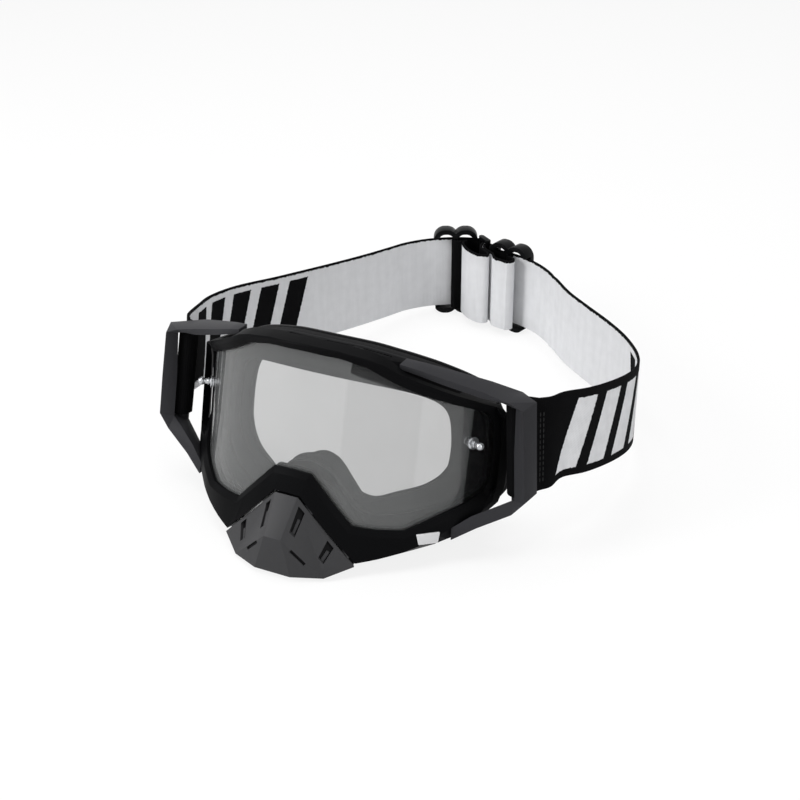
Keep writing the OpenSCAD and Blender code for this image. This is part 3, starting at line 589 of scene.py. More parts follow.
def veil_and_reflection_group():
    """Veil of the lens with painted reflections: upright painted reflection bands, the veil fading out at
    each side, and faint smears.
    """
    g, a, b = node_group(
        "Lens veil and painted reflections",
        [("Veil and reflection", "NodeSocketFloat", 0.3)],
        [("Veil and reflection", "NodeSocketFloat"), ("Roughness", "NodeSocketFloat")],
    )
    if a is None:
        return g
    place = g.nodes.new("ShaderNodeTexCoord")
    split = add(g, "ShaderNodeSeparateXYZ")
    g.links.new(place.outputs["Object"], split.inputs[0])
    c, s = math.cos(LEAN), math.sin(LEAN)
    x = math_node(g, "ADD", split.outputs[0], ORIGIN[0] * MM)
    y = math_node(g, "ADD", split.outputs[1], ORIGIN[1] * MM)
    z = math_node(g, "SUBTRACT", split.outputs[2], REST_HEIGHT * MM)
    deep = math_node(g, "SUBTRACT", math_node(g, "MULTIPLY", y, c), math_node(g, "MULTIPLY", z, s))
    high = math_node(g, "ADD", math_node(g, "MULTIPLY", y, s), math_node(g, "MULTIPLY", z, c))
    turn = math_node(g, "ARCTAN2", x, math_node(g, "SUBTRACT", LENS_AXIS * MM, deep))

    def ramp(value, low, high_end, start, end):
        n = add(g, "ShaderNodeMapRange", interpolation_type="SMOOTHSTEP")
        for i, v in enumerate((low, high_end, start, end)):
            n.inputs[i + 1].default_value = v
        g.links.new(value, n.inputs[0])
        return n.outputs[0]

    # Painted reflection edge: past it at each side the veil fades almost away
    edge = math.radians(REFLECTION_EDGE)
    body = ramp(math_node(g, "ABSOLUTE", turn), edge - 0.006, edge + 0.006, 1.0, 0.05)
    # Painted reflection: upright bands where the veil is raised, and lowered again further round
    first, second = [
        ramp(turn, math.radians(at), math.radians(at) + REFLECTION_SOFT, 0.0, share) for at, share in REFLECTION_BANDS
    ]
    reflection_band = math_node(g, "SUBTRACT", math_node(g, "ADD", 1.0, first), second)
    # Above a slanted line on the right half the painted reflection is mostly taken off
    line = math_node(g, "ADD", high, math_node(g, "MULTIPLY", turn, UNREFLECTED_LINE_FALL))
    above = ramp(line, *UNREFLECTED_LINE, 0.0, 1.0)
    right = ramp(turn, *(math.radians(v) for v in UNREFLECTED_SIDE), 0.0, 0.8)
    unreflected = math_node(g, "SUBTRACT", 1.0, math_node(g, "MULTIPLY", above, right))
    smear = noise(g, place.outputs["Object"], LENS_SMEARS, 3)
    swing = math_node(g, "ADD", 1.0, swing_of(g, smear, 0.10))
    shown, unreflected_smears = math_node(g, "MULTIPLY", body, reflection_band), math_node(g, "MULTIPLY", unreflected, swing)
    veil_with_reflections = math_node(g, "MULTIPLY", shown, unreflected_smears)
    g.links.new(math_node(g, "MULTIPLY", veil_with_reflections, a.outputs["Veil and reflection"]), b.inputs["Veil and reflection"])
    rough = math_node(g, "ADD", 0.03, math_node(g, "MULTIPLY", smear.outputs["Fac"], 0.06))
    g.links.new(rough, b.inputs["Roughness"])
    return g


def plain_material(name):
    m = bpy.data.materials.new(name)
    m.use_nodes = True
    bsdf = m.node_tree.nodes["Principled BSDF"]
    return m, m.node_tree, bsdf


def bump(tree, bsdf, height, strength, distance):
    b = tree.nodes.new("ShaderNodeBump")
    b.inputs["Strength"].default_value = strength
    b.inputs["Distance"].default_value = distance
    tree.links.new(height, b.inputs["Height"])
    tree.links.new(b.outputs["Normal"], bsdf.inputs["Normal"])


def grouped(name, group, **inputs):
    """A material whose base colour comes from a shared group that is given its own values."""
    m, tree, bsdf = plain_material(name)
    g = add(tree, "ShaderNodeGroup", node_tree=group)
    for label, value in inputs.items():
        g.inputs[label].default_value = value
    tree.links.new(g.outputs["Color"], bsdf.inputs["Base Color"])
    return m, tree, bsdf, g


def plastic(name, colour, rough, grain=GRAIN, variation=0.12, strength=0.35, specular=0.5, metallic=0.0):
    m, tree, bsdf, g = grouped(
        name, moulded_group(), Base=(*colour, 1), Rough=rough, Grain=grain, Variation=variation)
    tree.links.new(g.outputs["Roughness"], bsdf.inputs["Roughness"])
    bsdf.inputs["Specular IOR Level"].default_value = specular
    bsdf.inputs["Metallic"].default_value = metallic
    bump(tree, bsdf, g.outputs["Height"], strength, GRAIN_DEPTH)
    return m


def foam_material(name, colour, cells, mottle, depth, sheen=0.0):
    m, tree, bsdf, g = grouped(name, foam_group(), Base=(*colour, 1), Cells=cells, Mottle=mottle)
    bsdf.inputs["Roughness"].default_value = 0.95
    bsdf.inputs["Specular IOR Level"].default_value = 0.05
    if sheen:
        bsdf.inputs["Sheen Weight"].default_value = sheen
        bsdf.inputs["Sheen Roughness"].default_value = 0.5
    bump(tree, bsdf, g.outputs["Height"], 0.7, depth)
    return m


def weave_material(name, base, second, bars, mottle=0.2, border=0.0):
    m, tree, bsdf, g = grouped(
        name, weave_group(), Base=(*base, 1), Second=(*second, 1), Bars=bars, Border=border, Mottle=mottle)
    bsdf.inputs["Roughness"].default_value = 0.9
    bsdf.inputs["Specular IOR Level"].default_value = 0.03
    bump(tree, bsdf, g.outputs["Height"], 0.5, 0.0002)
    return m


def lens_material(settings):
    m, tree, bsdf = plain_material("Clear lens")
    bsdf.inputs["Base Color"].default_value = (*settings.lens_tint, 1)
    bsdf.inputs["Specular IOR Level"].default_value = 0.6
    bsdf.inputs["Coat Weight"].default_value = 0.3
    bsdf.inputs["Coat Roughness"].default_value = 0.03
    facing = tree.nodes.new("ShaderNodeLayerWeight")
    facing.inputs["Blend"].default_value = 0.35
    rise = math_node(tree, "POWER", facing.outputs["Facing"], 2.4)
    g = add(tree, "ShaderNodeGroup", node_tree=veil_and_reflection_group())
    g.inputs["Veil and reflection"].default_value = settings.lens_veil
    # The alpha is the lens veil with its painted reflection bands, raised where the lens is seen at a slant
    veil_and_reflection = math_node(tree, "ADD", g.outputs["Veil and reflection"], math_node(tree, "MULTIPLY", rise, 0.3), clamp=True)
    tree.links.new(veil_and_reflection, bsdf.inputs["Alpha"])
    tree.links.new(g.outputs["Roughness"], bsdf.inputs["Roughness"])
    return m


# ---- settings

def colour_property(name, description, default):
    return FloatVectorProperty(
        name=name, description=description, subtype="COLOR", size=3, default=default, min=0, max=1)


def length_property(name, description, default, low, high):
    return FloatProperty(
        name=name, description=description, unit="LENGTH", default=default, min=low, max=high)


class GoggleLook(PropertyGroup):
    frame_colour: colour_property(
        "Frame colour", "Colour of the moulded frame", (0.0036, 0.0037, 0.0041))
    guard_colour: colour_property(
        "Nose guard colour", "Colour of the nose guard", (0.041, 0.041, 0.043))
    arm_colour: colour_property(
        "Outrigger colour", "Colour of the outriggers", (0.032, 0.032, 0.035))
    strap_light: colour_property(
        "Light yarn", "Colour of the inside of the strap and of the bars outside", (0.66, 0.665, 0.68))
    strap_dark: colour_property(
        "Dark yarn", "Colour of the outside of the strap and of the bars inside", (0.004, 0.004, 0.0044))
    lens_tint: colour_property(
        "Lens tint", "Colour of the veil on the lens", (0.19, 0.195, 0.195))
    lens_veil: FloatProperty(
        name="Lens veil", description="How much light the lens holds back where it faces the eye",
        subtype="FACTOR", default=0.33, min=0, max=1)


class GoggleSize(PropertyGroup):
    strap_width: length_property("Strap width", "Width of the webbing", 0.044, 0.04, 0.046)
    strap_thickness: length_property("Strap thickness", "Thickness of the webbing", 0.0013, 0.001, 0.0015)
    edge_round: length_property("Edge round", "Rounding of moulded edges", 0.0006, 0.0002, 0.001)
    foam_steps: IntProperty(
        name="Foam steps", description="Sections between two points of the foam outline",
        default=5, min=2, max=10)


# ---- strap

def bar_loop(ahead, thick):
    """Stations of the strap round the right outrigger's bar: x, y, height, and the top's lean in x and y."""
    c, s = math.cos(LEAN), math.sin(LEAN)
    low, top = [
        [p[0], p[1] * c + p[2] * s, p[2] * c - p[1] * s + REST_HEIGHT] for p in (STRAP_BAR_LOW, STRAP_BAR_TOP)
    ]
    share = (STRAP_AT_BAR - low[2]) / (top[2] - low[2])
    bar = Vector((low[0] + (top[0] - low[0]) * share, low[1] + (top[1] - low[1]) * share))
    tilt = Vector((top[0] - low[0], top[1] - low[1])) / (top[2] - low[2]) * STRAP_NOMINAL
    to = (Vector(ahead[:2]) - bar - tilt / 2).normalized()
    side = Vector((-to.y, to.x))
    r = STRAP_BAR_R + STRAP_BAR_GAP + thick / 2
    first = math.degrees(math.atan2(side.y, side.x))
    ply = thick + STRAP_BAR_PLY
    turned = [bar + to * a + side * (ply - b) for a, b in TURNED_END]
    bend = [Vector(polar(bar, r, first + k * 22.5)) for k in range(9)]
    outgoing = [bar + to * a - side * b for a, b in OUTGOING_END]
    out = []
    for i, p in enumerate(turned + bend + outgoing):
        before, past = len(turned) - i, i - len(turned) - len(bend) + 1
        away = max(0, before, past)
        rise = EDGE_RISE[away] if past > 0 else 0.0
        out.append((p.x, p.y, STRAP_AT_BAR + rise, tilt.x * STAND_UP[away], tilt.y * STAND_UP[away]))
    return out


def ribbon(name, stations, width, thick, mats, flip, dark_from=None):
    """Webbing that stands on its lower edge along its stations, and its length in metres.

    Its UV map is its length and height in metres. The faces take the first two materials, the edges and
    what lies past dark_from the third.
    """
    points, faces, uvs, slots = [], [], [], []
    n, run = len(stations), [0.0]
    for a, b in zip(stations, stations[1:]):
        run.append(run[-1] + math.hypot(b[0] - a[0], b[1] - a[1]))
    columns = STRAP_COLUMNS
    ring = 2 * (columns + 1) + 2
    for i, s in enumerate(stations):
        along = heading(stations[max(i - 1, 0)], stations[min(i + 1, n - 1)])
        side = Vector((-along.y, along.x, 0)) * thick / 2
        for face in (1, -1):
            for k in range(columns + 1) if face == 1 else range(columns, -1, -1):
                v = k / columns
                inset = EDGE_INSET * thick if k in (0, columns) else 0
                z = s[2] + (inset if k == 0 else -inset) + v * width
                p = Vector((s[0] + s[3] * v, s[1] + s[4] * v, z)) + side * face
                points.append(standing(*p))
                uvs.append((run[i] * MM, v * width * MM))
            v, z = (1, s[2] + width) if face == 1 else (0, s[2])
            points.append(standing(s[0] + s[3] * v, s[1] + s[4] * v, z))
            uvs.append((run[i] * MM, v * width * MM))
    for i in range(n - 1):
        for k in range(ring):
            a, b = i * ring + k, i * ring + (k + 1) % ring
            faces.append((a, a + ring, b + ring, b))
            face = 0 if k < columns else 1 if columns + 2 <= k < 2 * columns + 2 else 2
            slots.append(2 if dark_from is not None and i >= dark_from else face)
    faces.append(tuple(range(ring)))
    faces.append(tuple((n - 1) * ring + k for k in reversed(range(ring))))
    slots += [2, 2]
    ob = new_piece(name, points, faces, uvs, slots)
    face_out(ob)
    dress(ob, *(reversed(mats[:2]) if flip else mats[:2]), mats[2])
    shade(ob, 50)
    return ob, run[-1] * MM


def stitches(name, rows, width, thread):
    """Rows of thread across the sewn end of a webbing: each row is a station and the way out of its face."""
    points, faces = [], []
    for s, side in rows:
        across = Vector((s[3], s[4], width)) * MM
        up, out = across.normalized(), Vector((side[0], side[1], 0))
        along = up.cross(out)
        foot = standing(s[0], s[1], s[2]) + out * STITCH_PROUD * MM
        for k in range(int((width - 2 * STITCH_MARGIN) / STITCH_PITCH)):
            c = foot + across * ((STITCH_MARGIN + (k + 0.5) * STITCH_PITCH) / width)
            n = len(points)
            for turn in (-1, 1):
                tip = c + up * STITCH_PITCH * STITCH_TIP * turn * MM
                ring = c + up * STITCH_PITCH * STITCH_RING * turn * MM
                points += [tip] + [ring + along * p * MM + out * q * MM for p, q in STITCH_GIRTH]
            for i in range(4):
                j = (i + 1) % 4
                faces += [
                    (n, n + 1 + i, n + 1 + j), (n + 5, n + 6 + j, n + 6 + i),
                    (n + 1 + i, n + 6 + i, n + 6 + j, n + 1 + j),
                ]
    ob = new_piece(name, points, faces)
    face_out(ob)
    dress(ob, thread)
    shade(ob, 60)
    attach(ob, "goggles")


def sewn_rows(ends, thick):
    """The two rows on the turned end, seen from inside, and the two on the webbing, seen from outside."""
    rows = []
    for k in SEWN_AT:
        for a, b, part, other in ((ends[1], ends[0], k, ends[-2]), (ends[-2], ends[-1], k * 0.5, ends[1])):
            s = [p + (q - p) * part for p, q in zip(a, b)]
            along = heading(a, b)
            side = Vector((-along.y, along.x))
            if side.dot(Vector((s[0] - other[0], s[1] - other[1]))) < 0:
                side = -side
            out = side * thick / 2
            rows.append(((s[0] + out.x, s[1] + out.y, *s[2:]), out.normalized()))
    return rows


def straight(points):
    """Upright stations at the strap's usual height."""
    return [(p[0], p[1], STRAP_LOW, 0.0, 0.0) for p in points]


def at_adjuster(bend, angle, points, mirrored=False):
    """Points that are written across and out from the adjuster's place on its bend."""
    centre, radius = bend
    a = math.radians(angle - 90)
    c, s = math.cos(a), math.sin(a)
    out = []
    for x, y in points:
        x, y = (-x if mirrored else x), y + radius
        out.append((centre[0] + x * c - y * s, centre[1] + x * s + y * c))
    return out


def round_bar(thick, first, lead=()):
    """The sewn end's way to the adjuster's bar, its turn round it from an angle, and its way back out."""
    r = ADJUSTER_BAR_R + ADJUSTER_GAP + thick / 2
    deep = thick / 2 + PLY_GAP + thick + ADJUSTER_GAP + ADJUSTER_BAR_R
    turn = [polar((0, -deep), r, a) for a in range(first, 80, -30)]
    out = [(3.4, -deep + r - 0.5), (6.4, -deep + thick - 0.6)]
    return [(x, y - deep) for x, y in lead] + turn + out


def arcs(bend, link, shape):
    """A webbing's lead, bend and hook, and how many stations before its end its faces turn dark with painted
    shade.
    """
    lead, turn, hook, plain = shape
    runs = [straight([polar(*bend, a) for a in angles]) for angles in (lead, turn)]
    runs.append(straight([polar(link, LINK_WRAP, a) for a in hook]))
    return *runs, len(hook) + len(turn) - plain


def eased(stations, first, last):
    """The same run with its middle relaxed between two stations."""
    out = [list(p) for p in stations]
    for _ in range(EASE_ROUNDS):
        for i in range(first, last):
            out[i] = [0.25 * a + 0.5 * b + 0.25 * c for a, b, c in zip(out[i - 1], out[i], out[i + 1])]
    return out


class GOGGLES_OT_strap(Operator):
    """Both webbings with their loops, woven bars and sewn ends"""
    bl_idname = "goggles.strap"
    bl_label = "Strap"

    def execute(self, context):
        look, size = context.scene.goggle_look, context.scene.goggle_size
        wide, thick = size.strap_width / MM, size.strap_thickness / MM
        light, dark = tuple(look.strap_light), tuple(look.strap_dark)
        outside = weave_material("Strap outside", dark, light, 1.0, 0.3)
        inside = weave_material("Strap inside", light, dark, 1.0, 0.16, border=1.0)
        plain = weave_material("Strap loop face", light, dark, 0.0, 0.16, border=1.0)
        back = weave_material("Strap loop back", dark, dark, 0.0, 0.3)
        # Dark yarn for the edges of the webbing, also used as painted shade inside the loops at the link
        selvedge_and_shade = weave_material("Strap selvedge and painted shade", dark, dark, 0.0, 0.3)
        thread = weave_material("Sewing thread", (0.03, 0.03, 0.031), dark, 0.0, 0.3)
        long_faces, loop_faces = (inside, outside, selvedge_and_shade), (plain, back, selvedge_and_shade)

        # Right webbing: out of the outrigger, round the helmet side, through the adjuster and round the link
        start = bar_loop(ROUTE_RIGHT[0], thick)
        lead, bend, hook, shaded_tail = arcs(BEND_RIGHT, LINK_RIGHT, ARCS_RIGHT)
        main = smooth_route(start + [(*p, 0, 0) for p in ROUTE_RIGHT] + lead, RUN_STEPS) + bend + hook
        # From a station in the bend on, its faces turn dark: painted shade inside the loop at the link
        right, length = ribbon(
            "strap_right_webbing", main, wide, thick, long_faces, flip=False, dark_from=len(main) - shaded_tail)
        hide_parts("strap_right")
        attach(right, "goggles")
        tab = at_adjuster(BEND_RIGHT, ADJUSTER_RIGHT_AT, TAB_RIGHT + round_bar(thick, 240), mirrored=True)
        link = polar(LINK_RIGHT, LINK_WRAP, LOOP_FROM_RIGHT)
        fold = smooth_route(straight([link] + FOLD_RIGHT + tab), LOOP_STEPS)
        loop, length = ribbon("strap_right_loop", fold, wide, thick, loop_faces, flip=True)
        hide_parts("strap_tab_right")
        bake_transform(loop)
        stitches("strap_right_stitches", sewn_rows(start, thick), wide, thread)

        # Left webbing: the same way, with its loop mirrored and its run eased into the bend
        start = bar_loop((-ROUTE_LEFT[0][0], ROUTE_LEFT[0][1]), thick)
        start = [(-p[0] - LOOP_PULL, p[1], p[2], -p[3], p[4]) for p in start]
        lead, bend, hook, shaded_tail = arcs(BEND_LEFT, LINK_LEFT, ARCS_LEFT)
        main = smooth_route(start + [(*p, 0, 0) for p in ROUTE_LEFT] + lead, RUN_STEPS)
        main = eased(main + bend, len(main) - EASE_FROM, len(main) + EASE_PAST) + hook
        # From a station in the bend on, its faces turn dark: painted shade inside the loop at the link
        left, length = ribbon(
            "strap_left_webbing", main, wide, thick, long_faces, flip=True, dark_from=len(main) - shaded_tail)
        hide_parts("strap_left")
        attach(left, "goggles")
        stitches("strap_left_stitches", sewn_rows(start, thick), wide, thread)
        tab = at_adjuster(BEND_LEFT, ADJUSTER_LEFT_AT, round_bar(thick, 270, TAB_LEFT))
        link = polar(LINK_LEFT, LINK_WRAP, LOOP_FROM_LEFT)
        fold = smooth_route(straight([link] + FOLD_LEFT + tab), LOOP_STEPS)
        hem = len(fold) - LOOP_STEPS * (len(tab) - 1) - 1
        loop, length = ribbon(
            "strap_left_loop", fold, wide, thick, loop_faces, flip=False, dark_from=hem)
        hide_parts("strap_tab_left")
        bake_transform(loop)
        return {"FINISHED"}


# ---- foam

def foam_ring(name, node, mat, steps, front, back, inset, crown, rear):
    """A foam layer that follows the seat, with rounded edges and a crowned back.

    It lies between two depths behind the seat, drawn in by an inset, and its inner outline is the share
    called rear of the way from the face outline to the rear one.
    """
    half = [(a[0] + (b[0] - a[0]) * rear, a[1] + (b[1] - a[1]) * rear) for a, b in zip(FACE, REAR_FACE)]
    outer = smooth_loop(grown(full_loop(SEAT), -inset), steps)
    inner = smooth_loop(grown(full_loop(half), inset), steps)
    # The section, from its outer edge over the back to its inner edge: shares of the width and of the depth
    side = [(0.012, 0.0), (0.0, 0.08), (-0.006, 0.3), (-0.006, 0.6), (0.006, 0.86), (0.03, 0.97)]
    section = side + [(0.2, 1 + crown * 0.7), (0.5, 1 + crown), (0.8, 1 + crown * 0.7)]
    section += [(1 - u, d) for u, d in reversed(side)] + [(0.75, 0.0), (0.5, 0.0), (0.25, 0.0)]
    points, faces, n, m = [], [], len(outer), len(section)
    for a, b in zip(outer, inner):
        for u, d in section:
            x, z = a[0] + (b[0] - a[0]) * u, a[1] + (b[1] - a[1]) * u
            points.append(leaning(x, seat_y(x) + front + d * (back - front), z))
    for i in range(n):
        for k in range(m):
            j = (i + 1) % n
            faces.append((i * m + k, i * m + (k + 1) % m, j * m + (k + 1) % m, j * m + k))
    ob = new_piece(name, points, faces)
    face_out(ob)
    dress(ob, mat)
    shade(ob, 60)
    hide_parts(node)
    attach(ob, "goggles")
    return ob


class GOGGLES_OT_foam(Operator):
    """The three layers of face foam and the thin foam behind the vents"""
    bl_idname = "goggles.foam"
    bl_label = "Face foam"

    def execute(self, context):
        steps = context.scene.goggle_size.foam_steps
        firm = foam_material("Firm foam", (0.018, 0.018, 0.019), 2200, 0.2, 0.00003)
        soft = foam_material("Soft foam", (0.014, 0.014, 0.0145), 900, 0.5, 0.0002)
        fleece = foam_material("Fleece", (0.005, 0.005, 0.0055), 1200, 0.9, 0.0003, sheen=0.15)
        base = foam_ring(
            "foam_base_pad", "foam_base", firm, steps,
            front=0.2, back=4.2, inset=0.4, crown=0.0, rear=0.2)
        core = foam_ring(
            "foam_core_pad", "foam_core", soft, steps,
            front=4.4, back=12.4, inset=0.9, crown=0.0, rear=0.7)
        top = foam_ring(
            "foam_fleece_pad", "foam_fleece", fleece, steps,
            front=12.6, back=15.2, inset=0.5, crown=0.3, rear=1.0)
        for node in ("vent_foam_top", "vent_foam_left", "vent_foam_right"):
            ob = copy_of_node(node, node + "_strip", bevel=0.3)
            dress(ob, firm)
        return {"FINISHED"}


# ---- frame, lens and hardware

class GOGGLES_OT_frame(Operator):
    """The moulded frame with its bevelled edges and grey inner faces"""
    bl_idname = "goggles.frame"
    bl_label = "Frame"

    def execute(self, context):
        look, size = context.scene.goggle_look, context.scene.goggle_size
        skin = plastic("Frame plastic", tuple(look.frame_colour), 0.40, specular=0.02)
        inner = plastic("Frame inner faces", (0.030, 0.030, 0.031), 0.6, variation=0.08, specular=0.15)
        # The shell behind the rim is a darker, matt copy of the frame plastic: painted shade between the rim
        # and the foam
        shaded_shell = plastic(
            "Frame shell behind the rim, painted shade", (0.0020, 0.0020, 0.0024), 0.75, variation=0.1, specular=0.02)
        ob = copy_of_node("frame", "frame_shell", bevel=size.edge_round / MM * 0.7, smooth=13)
        dress(ob, skin, inner, shaded_shell)
        for poly in ob.data.polygons:
            c = unlean(poly.center)
            q = unlean(poly.center + poly.normal * 0.01) - c
            r = math.hypot(c.x, c.y - LENS_AXIS)
            to = Vector([a - b for a, b in zip(MIDDLE, c)])
            if r < INNER_FROM and q.dot(to) > 0 and c.y < seat_y(c.x) - 0.5:
                poly.material_index = 1 if abs(c.x) < INNER_GREY_TO else 2
            elif r < SHELL_FROM and c.z > 0:
                poly.material_index = 2
        return {"FINISHED"}


class GOGGLES_OT_lens(Operator):
    """The clear curved lens"""
    bl_idname = "goggles.lens"
    bl_label = "Lens"

    def execute(self, context):
        ob = copy_of_node("lens", "lens_sheet", bevel=0, smooth=30, dissolve=0.05)
        dress(ob, lens_material(context.scene.goggle_look))
        return {"FINISHED"}


def cheek(u, v):
    """A place on the nose guard's right cheek, by its shares of the way across and down."""
    top = Vector(GUARD_TOP).lerp(Vector(GUARD_CHEEK), u)
    return top.lerp(Vector(GUARD_RIDGE).lerp(Vector(GUARD_JAW), u), v)


def sided(p, mirrored):
    return leaning(-p.x if mirrored else p.x, p.y, p.z)


def on_guard(ob, mat, smooth):
    """Dresses a piece that rides on the nose guard."""
    dress(ob, mat)
    shade(ob, smooth)
    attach(ob, body_name("nose_guard"))


def duct(name, corners, way, tray, mat, mirrored):
    """A tapered closed tray behind a slot of the nose guard, made from a plane."""
    near, far, narrow = tray
    make = [sided(p, mirrored) for p in corners]
    middle = sum(make, Vector()) / 4
    step = sided(way, mirrored) - leaning(0, 0, 0)
    clear_selection()
    bpy.ops.mesh.primitive_plane_add(size=1.0, location=(0, 0, 0))
    ob = bpy.context.active_object
    ob.name = ob.data.name = name
    order = {(-1, -1): 0, (1, -1): 1, (1, 1): 2, (-1, 1): 3}
    for v in ob.data.vertices:
        corner = make[order[round(2 * v.co.x), round(2 * v.co.y)]]
        v.co = middle + (corner - middle) * TRAY_MARGIN + step * near
    bpy.ops.object.mode_set(mode="EDIT")
    bpy.ops.mesh.select_all(action="SELECT")
    bpy.ops.mesh.extrude_region_move(TRANSFORM_OT_translate={"value": step * (far - near)})
    bpy.ops.transform.resize(value=(narrow, narrow, narrow), center_override=tuple(middle + step * far))
    bpy.ops.object.mode_set(mode="OBJECT")
    face_out(ob)
    m = ob.modifiers.new("wall", "SOLIDIFY")
    m.thickness, m.offset = TRAY_WALL * MM, 0
    apply_modifiers(ob)
    on_guard(ob, mat, 20)


def louvre(name, corners, way, mat, mirrored):
    """The slanted bar inside a cheek slot, from its lower edge to a little over half its height."""
    a, b, c, d = corners
    lower = [a.lerp(b, 0.38), a.lerp(b, 0.86), d.lerp(c, 0.9), d.lerp(c, 0.5)]
    lower[2], lower[3] = lower[1].lerp(lower[2], 0.62), lower[0].lerp(lower[3], 0.56)
    points = [sided(p + way * deep, mirrored) for deep in LOUVRE_DEPTHS for p in lower]
    faces = [(0, 1, 2, 3), (7, 6, 5, 4)] + [(i, i + 4, (i + 1) % 4 + 4, (i + 1) % 4) for i in range(4)]
    ob = new_piece(name, points, faces)
    face_out(ob)
    m = ob.modifiers.new("edge", "BEVEL")
    m.width, m.segments = 0.3 * MM, 2
    apply_modifiers(ob)
    on_guard(ob, mat, 30)


def guard_flange(mat):
    """A thin flange that runs back from the upper edge of the nose guard, under the frame."""
    edge = [Vector(GUARD_CHEEK).lerp(Vector(GUARD_TOP), k) for k in (0.05, 0.5, 1.0)]
    edge += [Vector((-p[0], p[1], p[2])) for p in reversed(edge)]
    points, faces, n = [], [], len(edge)
    for down in (FLANGE_DROP, FLANGE_DROP + FLANGE_THICK):
        for back in FLANGE_BACK:
            points += [leaning(p.x * (1 - FLANGE_DRAW * down), p.y + back, p.z - down) for p in edge]
    for i in range(n - 1):
        for a, b in ((0, 1), (1, 3), (3, 2), (2, 0)):
            faces.append((a * n + i, a * n + i + 1, b * n + i + 1, b * n + i))
    faces += [(0, n, 3 * n, 2 * n), (n - 1, 3 * n - 1, 4 * n - 1, 2 * n - 1)]
    ob = new_piece("nose_guard_flange", points, faces)
    face_out(ob)
    on_guard(ob, mat, 20)


def behind_slots(dark, grey):
    """The flange, and the dark trays and slanted bars behind the slots of the nose guard."""
    way = Vector(SLOT_WAY)
    guard_flange(dark)
    for mirrored, side in ((False, "right"), (True, "left")):
        for k, (u0, u1, v0, v1, slant) in enumerate(CHEEK_SLOTS):
            quad = [cheek(u0 - slant, v1), cheek(u1 - slant, v1), cheek(u1, v0), cheek(u0, v0)]
            duct(f"duct_{side}_{k + 1}", quad, way, CHEEK_TRAY, dark, mirrored)
            louvre(f"louvre_{side}_{k + 1}", quad, way, grey, mirrored)
        centre, along, across, back = (Vector(p) for p in CHIN_SLOT)
        along, across = along * CHIN_HALF[0], across * CHIN_HALF[1]
        quad = [centre + along * i + across * k for i, k in ((-1, -1), (1, -1), (1, 1), (-1, 1))]
        duct(f"duct_{side}_chin", quad, back, CHIN_TRAY, dark, mirrored)


class GOGGLES_OT_hardware(Operator):
    """Outriggers, nose guard, tear-off posts, adjusters, link and badge"""
    bl_idname = "goggles.hardware"
    bl_label = "Hardware"

    def execute(self, context):
        look, size = context.scene.goggle_look, context.scene.goggle_size
        edge = size.edge_round / MM
        arm = plastic("Outrigger plastic", tuple(look.arm_colour), 0.42, specular=0.03)
        guard = plastic("Nose guard plastic", tuple(look.guard_colour), 0.42, specular=0.1)
        clip = plastic("Adjuster plastic", (0.0035, 0.0037, 0.0042), 0.36, specular=0.06)
        white = plastic("Badge plastic", (0.66, 0.66, 0.67), 0.3, variation=0.05)
        dark = plastic("Duct plastic", (0.003, 0.003, 0.0034), 0.6, specular=0.1)
        metal = plastic(
            "Post metal", (0.50, 0.51, 0.53), 0.2, grain=900.0, variation=0.25, strength=0.15,
            specular=0.6, metallic=0.8)
        for side in ("left", "right"):
            ob = copy_of_node("outrigger_" + side, "outrigger_" + side + "_arm", bevel=edge * 1.3)
            dress(ob, arm)
            ob = copy_of_node("adjuster_" + side, "adjuster_" + side + "_glide", bevel=0.5)
            dress(ob, clip)
            for part in ("post", "washer"):
                ob = copy_of_node(part + "_" + side, part + "_" + side + "_turned", bevel=0.12)
                dress(ob, metal)
        ob = copy_of_node("nose_guard", "nose_guard_shell", bevel=edge * 0.7, smooth=20)
        dress(ob, guard)
        behind_slots(dark, guard)
        ob = copy_of_node("centre_link", "centre_link_bars", bevel=0.3)
        dress(ob, clip)
        ob = copy_of_node("badge", "badge_plate", bevel=0.35, segments=3)
        dress(ob, white)
        return {"FINISHED"}


# ---- stage

def seen_directly(tree):
    """1 for rays from the camera, through clear pieces or off glossy ones, else 0."""
    path = add(tree, "ShaderNodeLightPath")
    rays = [path.outputs["Is " + kind + " Ray"] for kind in ("Camera", "Transmission", "Glossy")]
    return total(tree, "MAXIMUM", *rays)


def lamp(name, place, target, wide, high, power):
    data = bpy.data.lights.new(name, "AREA")
    data.shape, data.size, data.size_y, data.energy = "RECTANGLE", wide, high, power
    ob = bpy.data.objects.new(name, data)
    bpy.context.scene.collection.objects.link(ob)
    ob.location = place
    ob.rotation_mode = "QUATERNION"
    ob.rotation_quaternion = (Vector(target) - Vector(place)).to_track_quat("-Z", "Y")


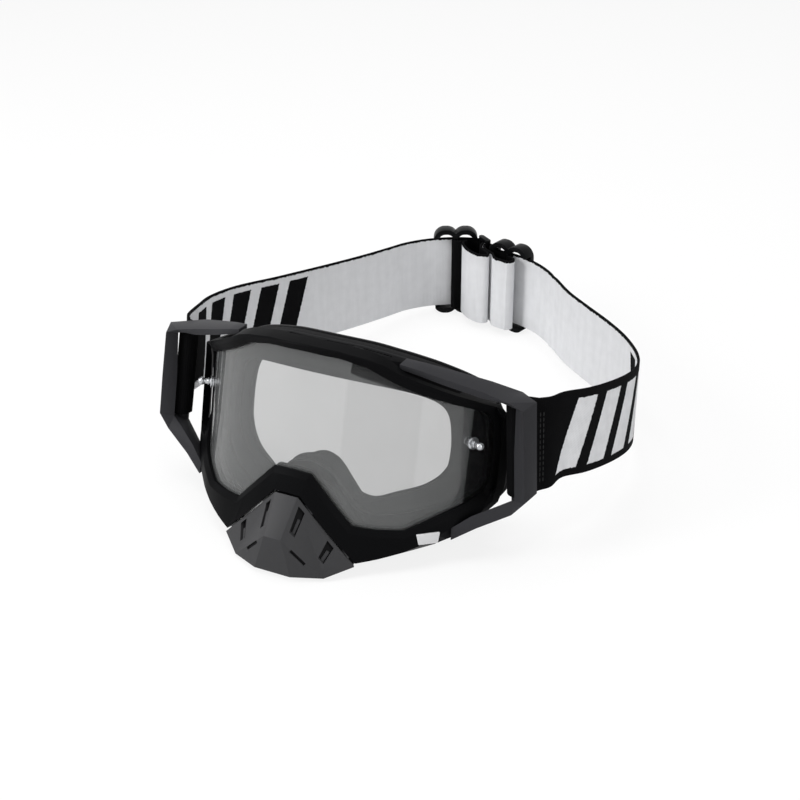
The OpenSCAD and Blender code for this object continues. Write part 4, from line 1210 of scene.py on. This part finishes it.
class GOGGLES_OT_stage(Operator):
    """Floor, lamps, background and the camera of the photograph"""
    bl_idname = "goggles.stage"
    bl_label = "Stage"

    def execute(self, context):
        scene = context.scene
        clear_selection()
        bpy.ops.mesh.primitive_plane_add(size=6.0, location=(0, 0, 0))
        floor = context.active_object
        floor.name = "floor"
        floor.location.z = -0.0002
        m, tree, bsdf = plain_material("Pale floor")
        bsdf.inputs["Base Color"].default_value = (0.86, 0.86, 0.86, 1)
        bsdf.inputs["Roughness"].default_value = 0.9
        glow = add(tree, "ShaderNodeEmission")
        glow.inputs["Color"].default_value = (1, 1, 1, 1)
        mix = add(tree, "ShaderNodeMixShader")
        tree.links.new(math_node(tree, "MULTIPLY", seen_directly(tree), FLOOR_GLOW), mix.inputs[0])
        tree.links.new(bsdf.outputs[0], mix.inputs[1])
        tree.links.new(glow.outputs[0], mix.inputs[2])
        tree.links.new(mix.outputs[0], tree.nodes["Material Output"].inputs["Surface"])
        floor.data.materials.append(m)

        world = bpy.data.worlds.new("Studio")
        scene.world = world
        world.use_nodes = True
        tree = world.node_tree
        back = tree.nodes["Background"]
        back.inputs["Color"].default_value = (1, 1, 1, 1)
        shown = math_node(tree, "MULTIPLY", seen_directly(tree), SEEN_MORE)
        tree.links.new(math_node(tree, "ADD", SURROUND, shown), back.inputs["Strength"])

        for softbox in LAMPS:
            lamp(*softbox)

        data = bpy.data.cameras.new("camera")
        cam = bpy.data.objects.new("camera", data)
        scene.collection.objects.link(cam)
        place, target = Vector(CAMERA_PLACE) * MM, Vector(CAMERA_TARGET) * MM
        cam.location = place
        cam.rotation_mode = "QUATERNION"
        turn = (target - place).to_track_quat("-Z", "Y")
        cam.rotation_quaternion = turn @ Matrix.Rotation(math.radians(CAMERA_ROLL), 3, "Z").to_quaternion()
        data.sensor_width, data.lens = 36.0, CAMERA_LENS
        data.clip_start, data.clip_end = 0.01, 20
        scene.camera = cam
        scene.view_settings.view_transform = "Standard"
        return {"FINISHED"}


class GOGGLES_PT_panel(Panel):
    """Lists the pieces of the goggles"""
    bl_idname = "GOGGLES_PT_panel"
    bl_label = "Goggles"
    bl_space_type = "VIEW_3D"
    bl_region_type = "UI"
    bl_category = "Goggles"

    def draw(self, context):
        for cls in OPERATORS:
            self.layout.operator(cls.bl_idname)
        for group in (context.scene.goggle_look, context.scene.goggle_size):
            box = self.layout.box()
            for name in group.bl_rna.properties.keys():
                if name not in ("rna_type", "name"):
                    box.prop(group, name)


OPERATORS = (
    GOGGLES_OT_stage, GOGGLES_OT_frame, GOGGLES_OT_lens,
    GOGGLES_OT_hardware, GOGGLES_OT_foam, GOGGLES_OT_strap,
)
CLASSES = (GoggleLook, GoggleSize) + OPERATORS + (GOGGLES_PT_panel,)


def register():
    for cls in CLASSES:
        bpy.utils.register_class(cls)
    bpy.types.Scene.goggle_look = PointerProperty(type=GoggleLook)
    bpy.types.Scene.goggle_size = PointerProperty(type=GoggleSize)


def unregister():
    del bpy.types.Scene.goggle_look
    del bpy.types.Scene.goggle_size
    for cls in reversed(CLASSES):
        bpy.utils.unregister_class(cls)


def main():
    register()
    bpy.ops.goggles.stage()
    bpy.ops.goggles.frame()
    bpy.ops.goggles.lens()
    bpy.ops.goggles.hardware()
    bpy.ops.goggles.foam()
    bpy.ops.goggles.strap()
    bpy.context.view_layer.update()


if __name__ == "__main__":
    main()
